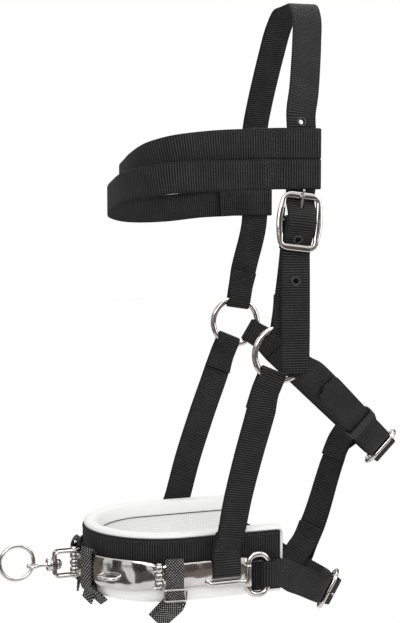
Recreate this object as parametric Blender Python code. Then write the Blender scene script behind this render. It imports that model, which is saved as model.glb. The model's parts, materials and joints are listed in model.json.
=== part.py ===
"""A lunging cavesson in black webbing with a padded white noseband and jointed metal nose plates.

It hangs from its crownpiece as on a horse's head: nose towards -X, the near (left) side at -Y, up is +Z.
The origin is the poll seat, the flat underside of the crownpiece at its highest point.
"""

import math

import bmesh
import bpy
from mathutils import Vector

MM = 0.001
AXIS_X = Vector((1, 0, 0))
AXIS_Y = Vector((0, 1, 0))
AXIS_Z = Vector((0, 0, 1))

# Webbing, and how it is folded round metal
WEBBING_WIDTH = 25 * MM
WEBBING_THICKNESS = 2 * MM
LAYER_GAP = 0.8 * MM
TOUCH_GAP = 0.4 * MM
SEWN_LAP = 16 * MM
LOOP_SLACK = 1.6 * MM
STATION_SPACING = 7 * MM
NECK_SHARE = 0.86

# Half the head's width at the cheeks, and the two cheek rings that hang at its sides
HALF_HEAD = 95 * MM
NEAR_RING_FORWARD = 43 * MM
NEAR_RING_DROP = 290 * MM
FAR_RING_FORWARD = 25 * MM
FAR_RING_DROP = 281 * MM
CHEEK_RING_DIAMETER = 48 * MM
CHEEK_RING_WIRE = 5 * MM
CROWN_RING_DEG = 81
CHEEK_RING_DEG = -113
THROAT_RING_DEG = -31

# Crownpiece, a strap over the poll whose near end is the billet
POLL_SEAT_LENGTH = 24 * MM
NEAR_CROWN_FORWARD = 26 * MM
FAR_CROWN_FORWARD = 6 * MM
BILLET_TIP_DROP = 306 * MM
BILLET_TIP_FORWARD = 33 * MM
PUNCH_DIAMETER = 4.5 * MM
PUNCH_SPACING = 31.5 * MM

# One size of centre-bar buckle serves the crown, the throat and the chin
BUCKLE_WIDTH = 39 * MM
BUCKLE_LENGTH = 48 * MM
BUCKLE_WIRE = 4 * MM
BUCKLE_BAR_WIRE = 3.4 * MM
BUCKLE_CORNER = 5 * MM
BUCKLE_BOW = 1.5 * MM
TONGUE_WIRE = 2.6 * MM
crown_buckle_share = 0.74

# Browband, two rows of webbing side by side with a loop at each end for the crownpiece
BROW_WIDTH = 24 * MM
BROW_ROW_GAP = 0.5 * MM
NEAR_BROW_TOP = 107.5 * MM
FAR_BROW_TOP = 132 * MM
BROW_REACH = 168 * MM
BROW_HALF_WIDTH = 99.5 * MM

# Noseband: a U-shaped pad turned a little towards the near side
NOSE_BACK = 60 * MM
NOSE_TURN_DEG = 5
NOSE_LEVEL = 473 * MM
PAD_HALF_WIDTH = 63 * MM
PAD_FRONT = 68 * MM
PAD_STRAIGHT = 60 * MM
PAD_REAR = 27 * MM
PAD_THICKNESS = 11 * MM
PAD_HEIGHT = 57 * MM
PAD_BOTTOM = 24 * MM
PAD_END_ROUND = 4 * MM
BAND_WIDTH = 25 * MM
BAND_THICKNESS = 1.6 * MM
BAND_RISE = 17 * MM
BAND_END_INSET = 4 * MM

# Metal plates, hinged on upright pins; each cheek plate has a strap slot and a D at its rear end
PLATE_THICKNESS = 2.4 * MM
PLATE_STAND_OFF = 6.2 * MM
PLATE_PEAK = 3.4 * MM
FRONT_PLATE_HEIGHT = 25 * MM
CHEEK_PLATE_HEIGHT = 20 * MM
SIDE_HINGE_DEG = 70
KNUCKLE_DIAMETER = 6.4 * MM
KNUCKLE_STAND_OFF = 2.4 * MM
SIDE_KNUCKLE_HEIGHT = 6.6 * MM
CENTRE_KNUCKLE_HEIGHT = 5.8 * MM
KNUCKLE_TAB = 6 * MM
PLATE_END_GAP = 3.7 * MM
PIN_DIAMETER = 2.6 * MM
PIN_HEAD_DIAMETER = 5 * MM
PIN_HEAD_HEIGHT = 1.2 * MM
RUNNING_GAP = 0.3 * MM
SLOT_AHEAD = 28 * MM
SLOT_LENGTH = 27 * MM
SLOT_HEIGHT = 5 * MM
SLOT_TOP_BELOW = 2.5 * MM
SLOT_RIM = 5 * MM
D_WIDTH = 22 * MM
D_HEIGHT = 39 * MM
D_WIRE = 5 * MM
D_CORNER = 7 * MM
D_OFFSET = 5 * MM
D_OUTSET = 2.5 * MM

# Swivel on the front pin, for the lunge line
BRACKET_LENGTH = 17 * MM
BRACKET_WIDTH = 9 * MM
BRACKET_THICKNESS = 2.6 * MM
SHANK_DIAMETER = 3.8 * MM
STEM_DIAMETER = 3.2 * MM
STEM_LENGTH = 8 * MM
HEAD_DIAMETER = 10 * MM
HEAD_LENGTH = 4.6 * MM
COLLAR_DIAMETER = 11 * MM
COLLAR_LENGTH = 5.2 * MM
EYE_WIRE = 2.8 * MM
EYE_HOLE = 5.2 * MM
LEAD_RING_DIAMETER = 32 * MM
LEAD_RING_WIRE = 3.2 * MM
LEAD_RING_RISE_DEG = 16

# Straps under the throat and the chin hang in a curve between the two sides
THROAT_SLOPE_DEG = 44
THROAT_DEPTH = 115 * MM
CHIN_SLOPE_DEG = 29
CHIN_DEPTH = 76 * MM
throat_buckle_share = -0.15
chin_buckle_share = -0.2
throat_jaw_share = 0.32
chin_jaw_share = 0.42
KEEPER_WIDTH = 9 * MM
KEEPER_THICKNESS = 1.4 * MM

# Small fittings on the noseband
REIN_LOOP_SPAN = 17 * MM
REIN_LOOP_REACH = 8.5 * MM
REIN_LOOP_WIRE = 2.6 * MM
REIN_LOOP_DEG = 37
REIN_LOOP_LEVEL = 2.5 * MM
TAPE_THICKNESS = 1.6 * MM
SIDE_TAPE_WIDTH = 15 * MM
FRONT_TAPE_WIDTH = 11 * MM
SIDE_TAPE_DEG = 80
FRONT_TAPE_DEG = 17
SIDE_TAIL = 25 * MM
FRONT_TAIL = 14 * MM
SLIDE_WIRE = 1.6 * MM
SLIDE_HEIGHT = 11 * MM

# Smoothness of the round pieces
WIRE_SIDES = 10
THIN_WIRE_SIDES = 8
ROD_SIDES = 12
RING_STEPS = 32


for old in list(bpy.data.objects):
    bpy.data.objects.remove(old, do_unlink=True)


def material(name, colour, roughness, metallic):
    made = bpy.data.materials.new(name)
    made.use_nodes = True
    shader = made.node_tree.nodes["Principled BSDF"]
    shader.inputs["Base Color"].default_value = (*colour, 1)
    shader.inputs["Roughness"].default_value = roughness
    shader.inputs["Metallic"].default_value = metallic
    return made


WEBBING = material("black_webbing", (0.02, 0.02, 0.022), 0.75, 0)
TAPE = material("braided_tape", (0.03, 0.035, 0.035), 0.8, 0)
PADDING = material("white_padding", (0.9, 0.9, 0.88), 0.7, 0)
NICKEL = material("nickel_plate", (0.72, 0.71, 0.7), 0.2, 1)


def mesh_object(name, points, faces, finish, origin=None):
    """One object whose mesh is stored about its origin, with its faces turned outwards."""
    origin = origin or Vector()
    data = bpy.data.meshes.new(name)
    data.from_pydata([p - origin for p in points], [], faces)
    shape = bmesh.new()
    shape.from_mesh(data)
    bmesh.ops.recalc_face_normals(shape, faces=shape.faces)
    if shape.calc_volume(signed=True) < 0:
        bmesh.ops.reverse_faces(shape, faces=shape.faces)
    shape.to_mesh(data)
    shape.free()
    data.shade_smooth()
    data.set_sharp_from_angle(angle=math.radians(35))
    data.materials.append(finish)
    made = bpy.data.objects.new(name, data)
    made.location = origin
    bpy.context.scene.collection.objects.link(made)
    return made


def combine(body, other, operation):
    """Joins or cuts with another shape, which is hidden."""
    other.hide_render = True
    other.display_type = "WIRE"
    step = body.modifiers.new(other.name, "BOOLEAN")
    step.operation = operation
    step.solver = "EXACT"
    step.object = other


def swept_faces(count, sides, closed):
    """Quads between neighbouring sections, with end caps where the sweep is open."""
    faces = []
    for i in range(count if closed else count - 1):
        a = i * sides
        b = (i + 1) % count * sides
        for k in range(sides):
            n = (k + 1) % sides
            faces.append((a + k, a + n, b + n, b + k))
    if not closed:
        faces.append(tuple(range(sides))[::-1])
        faces.append(tuple((count - 1) * sides + k for k in range(sides)))
    return faces


def circle(sides, radius):
    turns = [2 * math.pi * k / sides for k in range(sides)]
    return [(radius * math.cos(turn), radius * math.sin(turn)) for turn in turns]


def square_to(direction, other):
    """The part of a direction that is square to another, at unit length."""
    return (other - direction * other.dot(direction)).normalized()


def wire_sweep(name, path, normal, wire, closed=True, origin=None, sides=WIRE_SIDES):
    """A wire bent in one plane, closed or with flat ends."""
    last = len(path) - 1
    points = []
    for i, point in enumerate(path):
        ahead = path[(i + 1) % len(path) if closed else min(i + 1, last)]
        behind = path[i - 1 if closed else max(i - 1, 0)]
        outward = (ahead - behind).normalized().cross(normal)
        points += [point + outward * a + normal * b for a, b in circle(sides, wire / 2)]
    return mesh_object(name, points, swept_faces(len(path), sides, closed), NICKEL, origin)


def turned(name, profile, foot, axis, finish=NICKEL, origin=None):
    """A turned piece, from (radius, distance along the axis) rows."""
    hint = AXIS_Z if abs(axis.z) < math.cos(math.pi / 4) else AXIS_X
    first = axis.cross(hint).normalized()
    second = axis.cross(first)
    points = []
    for radius, height in profile:
        points += [foot + axis * height + first * a + second * b for a, b in circle(ROD_SIDES, radius)]
    return mesh_object(name, points, swept_faces(len(profile), ROD_SIDES, False), finish, origin)


def rod(name, start, end, diameter):
    radius = diameter / 2
    return turned(name, [(radius, 0), (radius, (end - start).length)], start, (end - start).normalized())


def block(name, centre, axes, size):
    """A box with its three sizes along three perpendicular directions."""
    half = [axis * extent / 2 for axis, extent in zip(axes, size, strict=True)]
    signs = [(i, j, k) for i in (-1, 1) for j in (-1, 1) for k in (-1, 1)]
    points = [centre + half[0] * i + half[1] * j + half[2] * k for i, j, k in signs]
    faces = [(0, 1, 3, 2), (4, 6, 7, 5), (0, 4, 5, 1), (2, 3, 7, 6), (0, 2, 6, 4), (1, 5, 7, 3)]
    return mesh_object(name, points, faces, NICKEL)


def rounded_rectangle(half_length, half_width, corner, bow=0):
    """Points round a rounded rectangle, whose long sides bow outwards."""
    points = []
    for start_deg, i, j in ((0, 1, 1), (90, -1, 1), (180, -1, -1), (270, 1, -1)):
        for step_deg in (0, 22.5, 45, 67.5, 90):
            turn = math.radians(start_deg + step_deg)
            u = i * (half_length - corner) + corner * math.cos(turn)
            v = j * (half_width - corner) + corner * math.sin(turn)
            points.append((u, v))
        if bow and start_deg in (0, 180):
            points.append((0, j * (half_width + bow)))
    return points


# A strap's knots are (point, direction across it, share of its width)
def velocity(before, here, after):
    """The direction of a smooth curve at a knot, shorter where the curve turns sharply."""
    back = here - before
    on = after - here
    if not back.length:
        return on.normalized()
    if not on.length:
        return back.normalized()
    blend = back.normalized() * on.length + on.normalized() * back.length
    return blend / (back.length + on.length)


def smooth(knots):
    """Stations of a smooth curve through the knots, closer together where they lie close."""
    points = [knot[0] for knot in knots]
    last = len(points) - 1
    flows = [velocity(points[max(i - 1, 0)], points[i], points[min(i + 1, last)]) for i in range(last + 1)]
    stations = []
    for i in range(last):
        start, end = points[i], points[i + 1]
        length = (end - start).length
        steps = max(2, round(length / STATION_SPACING))
        for step in range(steps):
            t = step / steps
            place = start * (2 * t**3 - 3 * t**2 + 1) + end * (3 * t**2 - 2 * t**3)
            place += (flows[i] * (t**3 - 2 * t**2 + t) + flows[i + 1] * (t**3 - t**2)) * length
            across = knots[i][1].lerp(knots[i + 1][1], t)
            stations.append((place, across, knots[i][2] * (1 - t) + knots[i + 1][2] * t))
    return [*stations, knots[-1]]


def ribbon(name, stations, width, thickness, finish, origin=None, closed=False):
    """A flat strap swept along its stations."""
    count = len(stations)
    points = []
    for i, (point, across, width_share) in enumerate(stations):
        ahead = stations[(i + 1) % count if closed else min(i + 1, count - 1)][0]
        behind = stations[i - 1 if closed else max(i - 1, 0)][0]
        along = (ahead - behind).normalized()
        side = square_to(along, across) * width * width_share / 2
        face = along.cross(side).normalized() * thickness / 2
        points += [point + side + face, point - side + face, point - side - face, point + side - face]
    return mesh_object(name, points, swept_faces(count, 4, closed), finish, origin)


def strap(name, knots):
    return ribbon(name, smooth(knots), WEBBING_WIDTH, WEBBING_THICKNESS, WEBBING)


# Depth and width along a billet's rounded tip, in shares of half the strap's width
tip_shape_shares = ((0, 1), (0.28, 0.93), (0.43, 0.75), (0.5, 0.5))


def with_round_tip(stations):
    point, across, _ = stations[-1]
    along = (point - stations[-2][0]).normalized()
    half = WEBBING_WIDTH / 2
    full = tip_shape_shares[-1][0]
    tip = [(point + along * half * (depth - full), across, share) for depth, share in tip_shape_shares]
    return [*(s for s in stations[:-1] if (s[0] - point).length > half * full), *tip]


def billet(name, knots, tail):
    """A strap that ends in a round tip: its smooth first part, then the stations of its tail."""
    stations = with_round_tip([*smooth(knots)[:-1], *tail])
    return ribbon(name, stations, WEBBING_WIDTH, WEBBING_THICKNESS, WEBBING)


# The main layer of every strap runs this far outside the middle of what holds its end
HALF_LAYER = (WEBBING_THICKNESS + LAYER_GAP) / 2


def half_turn(centre, away, outward, across, radius, neck):
    """Knots round the far side of a bar, from a strap's inner layer to its outer layer."""
    knots = []
    for turn_deg in (-90, -45, 0, 45, 90):
        turn = math.radians(turn_deg)
        offset = outward * math.sin(turn) - away * math.cos(turn)
        knots.append((centre + offset * radius, across, neck))
    return knots


def fold(centre, away, outward, across, radius, clear, lean, neck=1):
    """Knots of a strap's end folded round a bar, from the sewn end inside it to its outer layer.

    away points from the bar along the strap, clear is how far the bar reaches that way, and the
    strap goes on along lean.
    """
    leg = centre + away * (clear + radius * 2)
    lean_out = square_to(lean, outward) * HALF_LAYER
    sewn = leg + lean * SEWN_LAP
    straight = centre + away * radius / 2
    inner = [
        (sewn - lean_out, across, 1),
        (leg - outward * HALF_LAYER, across, (1 + neck) / 2),
        (centre + away * clear - outward * radius, across, neck),
        (straight - outward * radius, across, neck),
    ]
    outer = [
        (straight + outward * radius, across, neck),
        (centre + away * clear + outward * radius, across, neck),
        (leg + outward * HALF_LAYER, across, (1 + neck) / 2),
        (sewn + lean_out, across, 1),
    ]
    return [*inner, *half_turn(centre, away, outward, across, radius, neck), *outer]


def layer_over(knots, first, last, outward):
    """Stations of a strap that lies on another one, from that one's knot at last back to its knot at first."""
    stations = smooth(knots)
    places = [station[0] for station in stations]
    start = min(range(len(places)), key=lambda i: (places[i] - first).length)
    end = min(range(len(places)), key=lambda i: (places[i] - last).length)
    moved = []
    for i in range(end, start - 1, -1):
        point, across, _ = stations[i]
        along = places[min(i + 1, len(places) - 1)] - places[max(i - 1, 0)]
        normal = along.cross(across).normalized()
        if i == end:
            sign = 1 if normal.dot(outward) > 0 else -1
        moved.append((point + normal * sign * (WEBBING_THICKNESS + LAYER_GAP), across, 1))
    return moved


def run(start, end, bow_shares):
    """Knots of a free run between two folds. A row is a share of the way, then a bow in shares of it."""
    length = (end[0] - start[0]).length
    knots = []
    for way, bow_x, bow_y, bow_z in bow_shares:
        bow = Vector((bow_x, bow_y, bow_z)) * length
        knots.append((start[0].lerp(end[0], way) + bow, start[1].lerp(end[1], way), 1))
    return knots


# The cheek rings
RING_MEAN = (CHEEK_RING_DIAMETER - CHEEK_RING_WIRE) / 2
RING_FOLD = CHEEK_RING_WIRE / 2 + TOUCH_GAP + WEBBING_THICKNESS / 2
NEAR_RING = Vector((-NEAR_RING_FORWARD, -HALF_HEAD, -NEAR_RING_DROP))
FAR_RING = Vector((-FAR_RING_FORWARD, HALF_HEAD, -FAR_RING_DROP))


def flat_ring(name, centre, mean_radius, wire, axes, steps=RING_STEPS, sides=WIRE_SIDES):
    path = [centre + axes[0] * a + axes[1] * b for a, b in circle(steps, mean_radius)]
    return wire_sweep(name, path, axes[0].cross(axes[1]), wire, origin=centre, sides=sides)


flat_ring("near_cheek_ring", NEAR_RING, RING_MEAN, CHEEK_RING_WIRE, (AXIS_X, AXIS_Z))
flat_ring("far_cheek_ring", FAR_RING, RING_MEAN, CHEEK_RING_WIRE, (AXIS_X, AXIS_Z))


def ring_directions(degrees):
    turn = math.radians(degrees)
    away = AXIS_X * math.cos(turn) + AXIS_Z * math.sin(turn)
    return away, AXIS_X * math.sin(turn) - AXIS_Z * math.cos(turn)


# The wire of a ring curves into the strap's fold, so the fold starts this far from the ring's centre
half_neck = WEBBING_WIDTH * NECK_SHARE / 2
FOLD_IN_RING = (
    math.sqrt((RING_MEAN - CHEEK_RING_WIRE / 2) ** 2 - half_neck**2)
    - TOUCH_GAP
    - WEBBING_THICKNESS / 2
    + RING_FOLD
)
RING_CLEAR = RING_MEAN + CHEEK_RING_WIRE / 2 + TOUCH_GAP - FOLD_IN_RING
RING_LEG = FOLD_IN_RING + RING_CLEAR + RING_FOLD * 2


def ring_fold(centre, degrees, outward, towards):
    """A strap's end folded round a cheek ring, and going on towards a point."""
    away, across = ring_directions(degrees)
    lean = (towards - centre - away * RING_LEG).normalized()
    start = centre + away * FOLD_IN_RING
    return fold(start, away, outward, across, RING_FOLD, RING_CLEAR, lean, NECK_SHARE)


# Buckles: a bowed frame, a centre bar in the strap's fold, and a tongue round the bar
END_BAR_REACH = (BUCKLE_LENGTH - BUCKLE_WIRE) / 2
UNDER_BAR = BUCKLE_WIRE / 2 + LAYER_GAP + WEBBING_THICKNESS / 2
BAR_FOLD = BUCKLE_BAR_WIRE / 2 + TOUCH_GAP + WEBBING_THICKNESS / 2
TONGUE_LOOP = (BUCKLE_BAR_WIRE + TONGUE_WIRE) / 2 + TOUCH_GAP
OVER_TONGUE = TONGUE_LOOP + (TONGUE_WIRE + WEBBING_THICKNESS) / 2 + LAYER_GAP
TONGUE_REST = (BUCKLE_WIRE + TONGUE_WIRE) / 2 + TOUCH_GAP
LAYER_STEP = WEBBING_THICKNESS + LAYER_GAP


def buckle_seat(middle, tip, outward, billet_offset):
    """Centre, tongue direction, direction across and outward normal of a buckle that lies on a strap."""
    strap_bar = middle - tip * END_BAR_REACH + outward * (HALF_LAYER + LAYER_STEP + UNDER_BAR)
    billet_bar = middle + tip * END_BAR_REACH + outward * (billet_offset + UNDER_BAR)
    tongue_way = (billet_bar - strap_bar).normalized()
    normal = square_to(tongue_way, outward)
    return (strap_bar + billet_bar) / 2, tongue_way, tongue_way.cross(normal), normal


def tongue_line(seat):
    centre, tip, _, outward = seat
    heel = centre + tip * TONGUE_LOOP
    rest = centre + tip * END_BAR_REACH + outward * TONGUE_REST
    return heel, rest + (rest - heel).normalized() * BUCKLE_WIRE


def buckle(name, seat):
    centre, tip, across, outward = seat
    half_width = (BUCKLE_WIDTH - BUCKLE_WIRE) / 2 - BUCKLE_BOW
    outline = rounded_rectangle(END_BAR_REACH, half_width, BUCKLE_CORNER, BUCKLE_BOW)
    path = [centre + tip * u + across * v for u, v in outline]
    frame = wire_sweep(f"{name}_buckle_frame", path, outward, BUCKLE_WIRE, origin=centre)
    half_bar = across * (half_width + BUCKLE_BOW)
    combine(frame, rod(f"{name}_bar", centre - half_bar, centre + half_bar, BUCKLE_BAR_WIRE), "UNION")
    loop = [centre + tip * u + outward * v for u, v in circle(THIN_WIRE_SIDES * 2, TONGUE_LOOP)]
    tongue_name = f"{name}_buckle_tongue"
    tongue = wire_sweep(tongue_name, loop, across, TONGUE_WIRE, origin=centre, sides=THIN_WIRE_SIDES)
    heel, end = tongue_line(seat)
    combine(tongue, rod(f"{name}_tongue_rod", heel, end, TONGUE_WIRE), "UNION")


# A strap sinks from its height over the centre bar to its height at the end bar: share of the way along,
# then share of the drop
bar_slope_shares = ((0.22, 0.1), (0.5, 0.52), (0.78, 0.92))


def bar_slope(seat, end, top, low):
    """Knots from over the centre bar down to under an end bar, which is towards the tip where end is 1."""
    centre, tip, across, outward = seat
    knots = []
    for along, drop in bar_slope_shares:
        lift = top + (low - top) * drop
        knots.append((centre + tip * END_BAR_REACH * end * along + outward * lift, across, 1))
    for along in (END_BAR_REACH, END_BAR_REACH + BUCKLE_WIRE):
        knots.append((centre + tip * along * end + outward * low, across, 1))
    return knots


def buckle_end(seat):
    """Knots of the strap that holds a buckle, from under its bar and round the centre bar to the lap."""
    centre, tip, across, outward = seat
    low = -UNDER_BAR - LAYER_STEP
    slope = bar_slope(seat, -1, BAR_FOLD, low)
    rise = half_turn(centre, -tip, outward, across, BAR_FOLD, 1)
    lap = centre - tip * END_BAR_REACH + outward * (low - LAYER_STEP)
    return [*reversed(slope), *reversed(rise), (lap, across, 1)]


def cut_tongue_slot(body, name, seat):
    """The slot in the strap's fold in which the tongue's loop turns on the bar."""
    centre, tip, across, outward = seat
    reach = (TONGUE_LOOP + TONGUE_WIRE / 2 + LAYER_GAP) * 2
    size = (reach, reach, TONGUE_WIRE + LAYER_GAP * 4)
    combine(body, block(f"{name}_tongue_slot", centre, (tip, outward, across), size), "DIFFERENCE")


def billet_through(seat):
    """Knots of a billet behind one end bar, over the centre bar and behind the other."""
    centre, _, across, outward = seat
    down = bar_slope(seat, -1, OVER_TONGUE, -UNDER_BAR)
    up = reversed(bar_slope(seat, 1, OVER_TONGUE, -UNDER_BAR))
    return [*up, (centre + outward * OVER_TONGUE, across, 1), *down]


def cut_tongue_hole(body, name, seat):
    """The punched hole with the tongue in it, cut along the tongue."""
    heel, end = tongue_line(seat)
    combine(body, rod(f"{name}_tongue_hole", heel, end, PUNCH_DIAMETER), "DIFFERENCE")


# Crown: a short strap on the near ring holds the buckle, and the crownpiece comes down through it
CROWN_NEAR_LOW = Vector((-NEAR_CROWN_FORWARD, -HALF_HEAD, -NEAR_BROW_TOP - BROW_WIDTH * 2))
NEAR_CROWN_LEG = NEAR_RING + ring_directions(CROWN_RING_DEG)[0] * RING_LEG
CROWN_SEAT = buckle_seat(
    NEAR_CROWN_LEG.lerp(CROWN_NEAR_LOW, crown_buckle_share),
    (CROWN_NEAR_LOW - NEAR_CROWN_LEG).normalized(),
    -AXIS_Y,
    0,
)


def facing(knots, across):
    """The same knots with every direction across on the same side as the one given."""
    return [(p, a if a.dot(across) > 0 else -a, w) for p, a, w in knots]


crown_end = buckle_end(CROWN_SEAT)
crown_start = ring_fold(NEAR_RING, CROWN_RING_DEG, -AXIS_Y, crown_end[0][0])
crown_strap_knots = facing(crown_start + crown_end, AXIS_X)
cut_tongue_slot(strap("near_crown_buckle_strap", crown_strap_knots), "crown", CROWN_SEAT)
buckle("crown", CROWN_SEAT)

# Height below the poll in shares of the near ring's drop, and width in shares of half the head
crown_arch_shares = ((0.045, 0.45), (0.11, 0.6), (0.19, 0.76), (0.27, 0.9), (0.335, 0.985))


def crown_side(side, forward, straight_drops):
    """Knots from the poll down one side to the lower edge of the browband."""
    knots = []
    for drop_share, out_share in crown_arch_shares:
        lean = forward * drop_share / crown_arch_shares[-1][0]
        place = Vector((-lean, side * HALF_HEAD * out_share, -NEAR_RING_DROP * drop_share))
        knots.append((place, AXIS_X, 1))
    for drop in straight_drops:
        knots.append((Vector((-forward, side * HALF_HEAD, -drop)), AXIS_X, 1))
    return knots


# Punched holes of the crownpiece, counted downwards from the one that the tongue is in
punch_steps = (-2, -1, 1, 2)


def crownpiece():
    seat = []
    for share in (0.75, 0.5, 0, -0.5, -0.75):
        seat.append((Vector((0, POLL_SEAT_LENGTH * share, WEBBING_THICKNESS / 2)), AXIS_X, 1))
    rows = (0, BROW_WIDTH, BROW_WIDTH * 1.75, BROW_WIDTH * 2)
    far = crown_side(1, FAR_CROWN_FORWARD, [FAR_BROW_TOP + drop for drop in rows])
    near = crown_side(-1, NEAR_CROWN_FORWARD, [NEAR_BROW_TOP + drop for drop in rows])
    ring_end = ring_fold(FAR_RING, CROWN_RING_DEG, AXIS_Y, far[-1][0])
    # The tail lies over the buckle strap, then hangs plumb to its tip while that strap slants to the ring
    over = layer_over(crown_strap_knots, crown_start[-4][0], crown_end[0][0], -AXIS_Y)
    start, end = over[0][0], over[-1][0]
    outermost = min(station[0].y for station in over) - LAYER_GAP
    tip = Vector((-BILLET_TIP_FORWARD, outermost, -BILLET_TIP_DROP))
    tail = []
    for place, across, _ in over:
        fall = (start.z - place.z) / (start.z - end.z)
        x = start.x + (tip.x - start.x) * (start.z - place.z) / (start.z - tip.z)
        tail.append((Vector((x, start.y + (outermost - start.y) * fall**0.8, place.z)), across, 1))
    tail += [(tail[-1][0].lerp(tip, way), AXIS_X, 1) for way in (0.5, 1)]
    knots = [*ring_end, *reversed(far), *seat, *near, *billet_through(CROWN_SEAT)]
    body = billet("crownpiece", facing(knots, AXIS_X), facing(tail, AXIS_X))
    cut_tongue_hole(body, "crown", CROWN_SEAT)
    reach = AXIS_Y * (BUCKLE_WIDTH / 2)
    for step in punch_steps:
        centre = Vector((-NEAR_CROWN_FORWARD, -HALF_HEAD, CROWN_SEAT[0].z + END_BAR_REACH * 0.8))
        centre -= AXIS_Z * PUNCH_SPACING * step
        if step > 0:
            centre = tip.lerp(CROWN_SEAT[0], (centre.z - tip.z) / (CROWN_SEAT[0].z - tip.z))
        combine(body, rod(f"crown_hole_{step}", centre - reach, centre + reach, PUNCH_DIAMETER), "DIFFERENCE")


crownpiece()

# Browband rows as shares of its reach forwards, its half width (near is minus) and its far side's drop
lower_row_shares = (
    (0.44, -0.985, 0.04),
    (0.65, -1.0, 0.08),
    (0.83, -0.97, 0.17),
    (0.93, -0.84, 0.3),
    (0.985, -0.62, 0.45),
    (1.0, -0.35, 0.68),
    (0.99, -0.05, 0.88),
    (0.93, 0.28, 1.05),
    (0.79, 0.62, 1.2),
    (0.56, 0.87, 1.2),
    (0.34, 0.95, 1.06),
)
upper_row_shares = (
    (0.42, -0.955, 0.04),
    (0.64, -0.955, 0.14),
    (0.8, -0.92, 0.3),
    (0.89, -0.81, 0.5),
    (0.935, -0.61, 0.76),
    (0.945, -0.36, 1.0),
    (0.93, -0.06, 1.15),
    (0.87, 0.25, 1.2),
    (0.735, 0.57, 1.22),
    (0.52, 0.81, 1.15),
    (0.32, 0.9, 1.04),
)


def browband_row(name, row, shares):
    """One row, from its loop round the near side of the crownpiece to its loop round the far side."""
    fall = FAR_BROW_TOP - NEAR_BROW_TOP
    top = NEAR_BROW_TOP + (BROW_WIDTH + BROW_ROW_GAP) * row + BROW_WIDTH / 2
    radius = WEBBING_THICKNESS + LAYER_GAP
    clear = WEBBING_WIDTH + TOUCH_GAP * 2
    half = WEBBING_WIDTH / 2 + TOUCH_GAP
    middle = []
    for forward, out, drop in shares:
        place = Vector((-BROW_REACH * forward, BROW_HALF_WIDTH * out, -top - fall * drop))
        middle.append((place, AXIS_Z, 1))
    ends = []
    for side, forward, drop, on in ((-1, NEAR_CROWN_FORWARD, 0, middle[0]), (1, FAR_CROWN_FORWARD, fall, middle[-1])):
        bar = Vector((half - forward, side * HALF_HEAD, -top - drop))
        leg = bar - AXIS_X * (clear + radius * 2)
        lean = (on[0] - leg).normalized()
        ends.append(fold(bar, -AXIS_X, AXIS_Y * side, AXIS_Z, radius, clear, lean))
    stations = smooth([*ends[0], *middle, *reversed(ends[1])])
    ribbon(name, stations, BROW_WIDTH, WEBBING_THICKNESS, WEBBING)


browband_row("browband_upper_row", 0, upper_row_shares)
browband_row("browband_lower_row", 1, lower_row_shares)

# The noseband's own directions: rearwards along it, and towards the far side
turn_in = math.radians(NOSE_TURN_DEG)
REARWARD = Vector((math.cos(turn_in), math.sin(turn_in), 0))
FARWARD = Vector((-math.sin(turn_in), math.cos(turn_in), 0))
NOSE = Vector((-NOSE_BACK, 0, -NOSE_LEVEL))


def nose_side(side, rear, offset=0, rise=0):
    """A point on a straight side of the noseband, offset outwards from the pad's outer face."""
    return NOSE + REARWARD * rear + FARWARD * side * (PAD_HALF_WIDTH + offset) + AXIS_Z * rise


def nose_outward(degrees):
    turn = math.radians(degrees)
    return (FARWARD * PAD_FRONT * math.sin(turn) - REARWARD * PAD_HALF_WIDTH * math.cos(turn)).normalized()


def nose_front(degrees, offset=0, rise=0):
    """A point on the curved front: 0 is the middle, -90 the near side and 90 the far side."""
    turn = math.radians(degrees)
    rear = -PAD_STRAIGHT - PAD_FRONT * math.cos(turn)
    base = NOSE + REARWARD * rear + FARWARD * PAD_HALF_WIDTH * math.sin(turn)
    return base + nose_outward(degrees) * offset + AXIS_Z * rise


def nose_line(rear_end):
    """(point, outward) all round the noseband, from its near rear end to its far one."""
    side_steps = 8
    sides = []
    for step in range(side_steps):
        sides.append(rear_end - (rear_end + PAD_STRAIGHT) * step / side_steps)
    line = [(nose_side(-1, rear), -FARWARD) for rear in sides]
    line += [(nose_front(degrees), nose_outward(degrees)) for degrees in range(-90, 91, 9)]
    return line + [(nose_side(1, rear), FARWARD) for rear in reversed(sides)]


# Pad section, outwards in shares of its thickness and upwards in shares of its height. It is drawn in
# where the band is sewn on, and its inner face is full.
pad_section_shares = (
    (-0.4, 0.0),
    (-0.12, 0.012),
    (0.03, 0.05),
    (0.1, 0.12),
    (0.12, 0.22),
    (0.11, 0.34),
    (0.06, 0.43),
    (0.0, 0.47),
    (0.0, 0.6),
    (0.0, 0.75),
    (0.0, 0.93),
    (0.05, 0.955),
    (0.03, 0.98),
    (-0.12, 0.997),
    (-0.4, 1.0),
    (-0.68, 0.994),
    (-0.88, 0.965),
    (-1.0, 0.91),
    (-1.07, 0.8),
    (-1.14, 0.65),
    (-1.18, 0.5),
    (-1.16, 0.35),
    (-1.09, 0.2),
    (-1.0, 0.09),
    (-0.88, 0.03),
    (-0.68, 0.005),
)
# Distance in from the pad's end in shares of its rounding, and the section's size there
pad_end_shares = ((0, 0.55), (0.3, 0.82), (0.75, 0.96))


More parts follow.
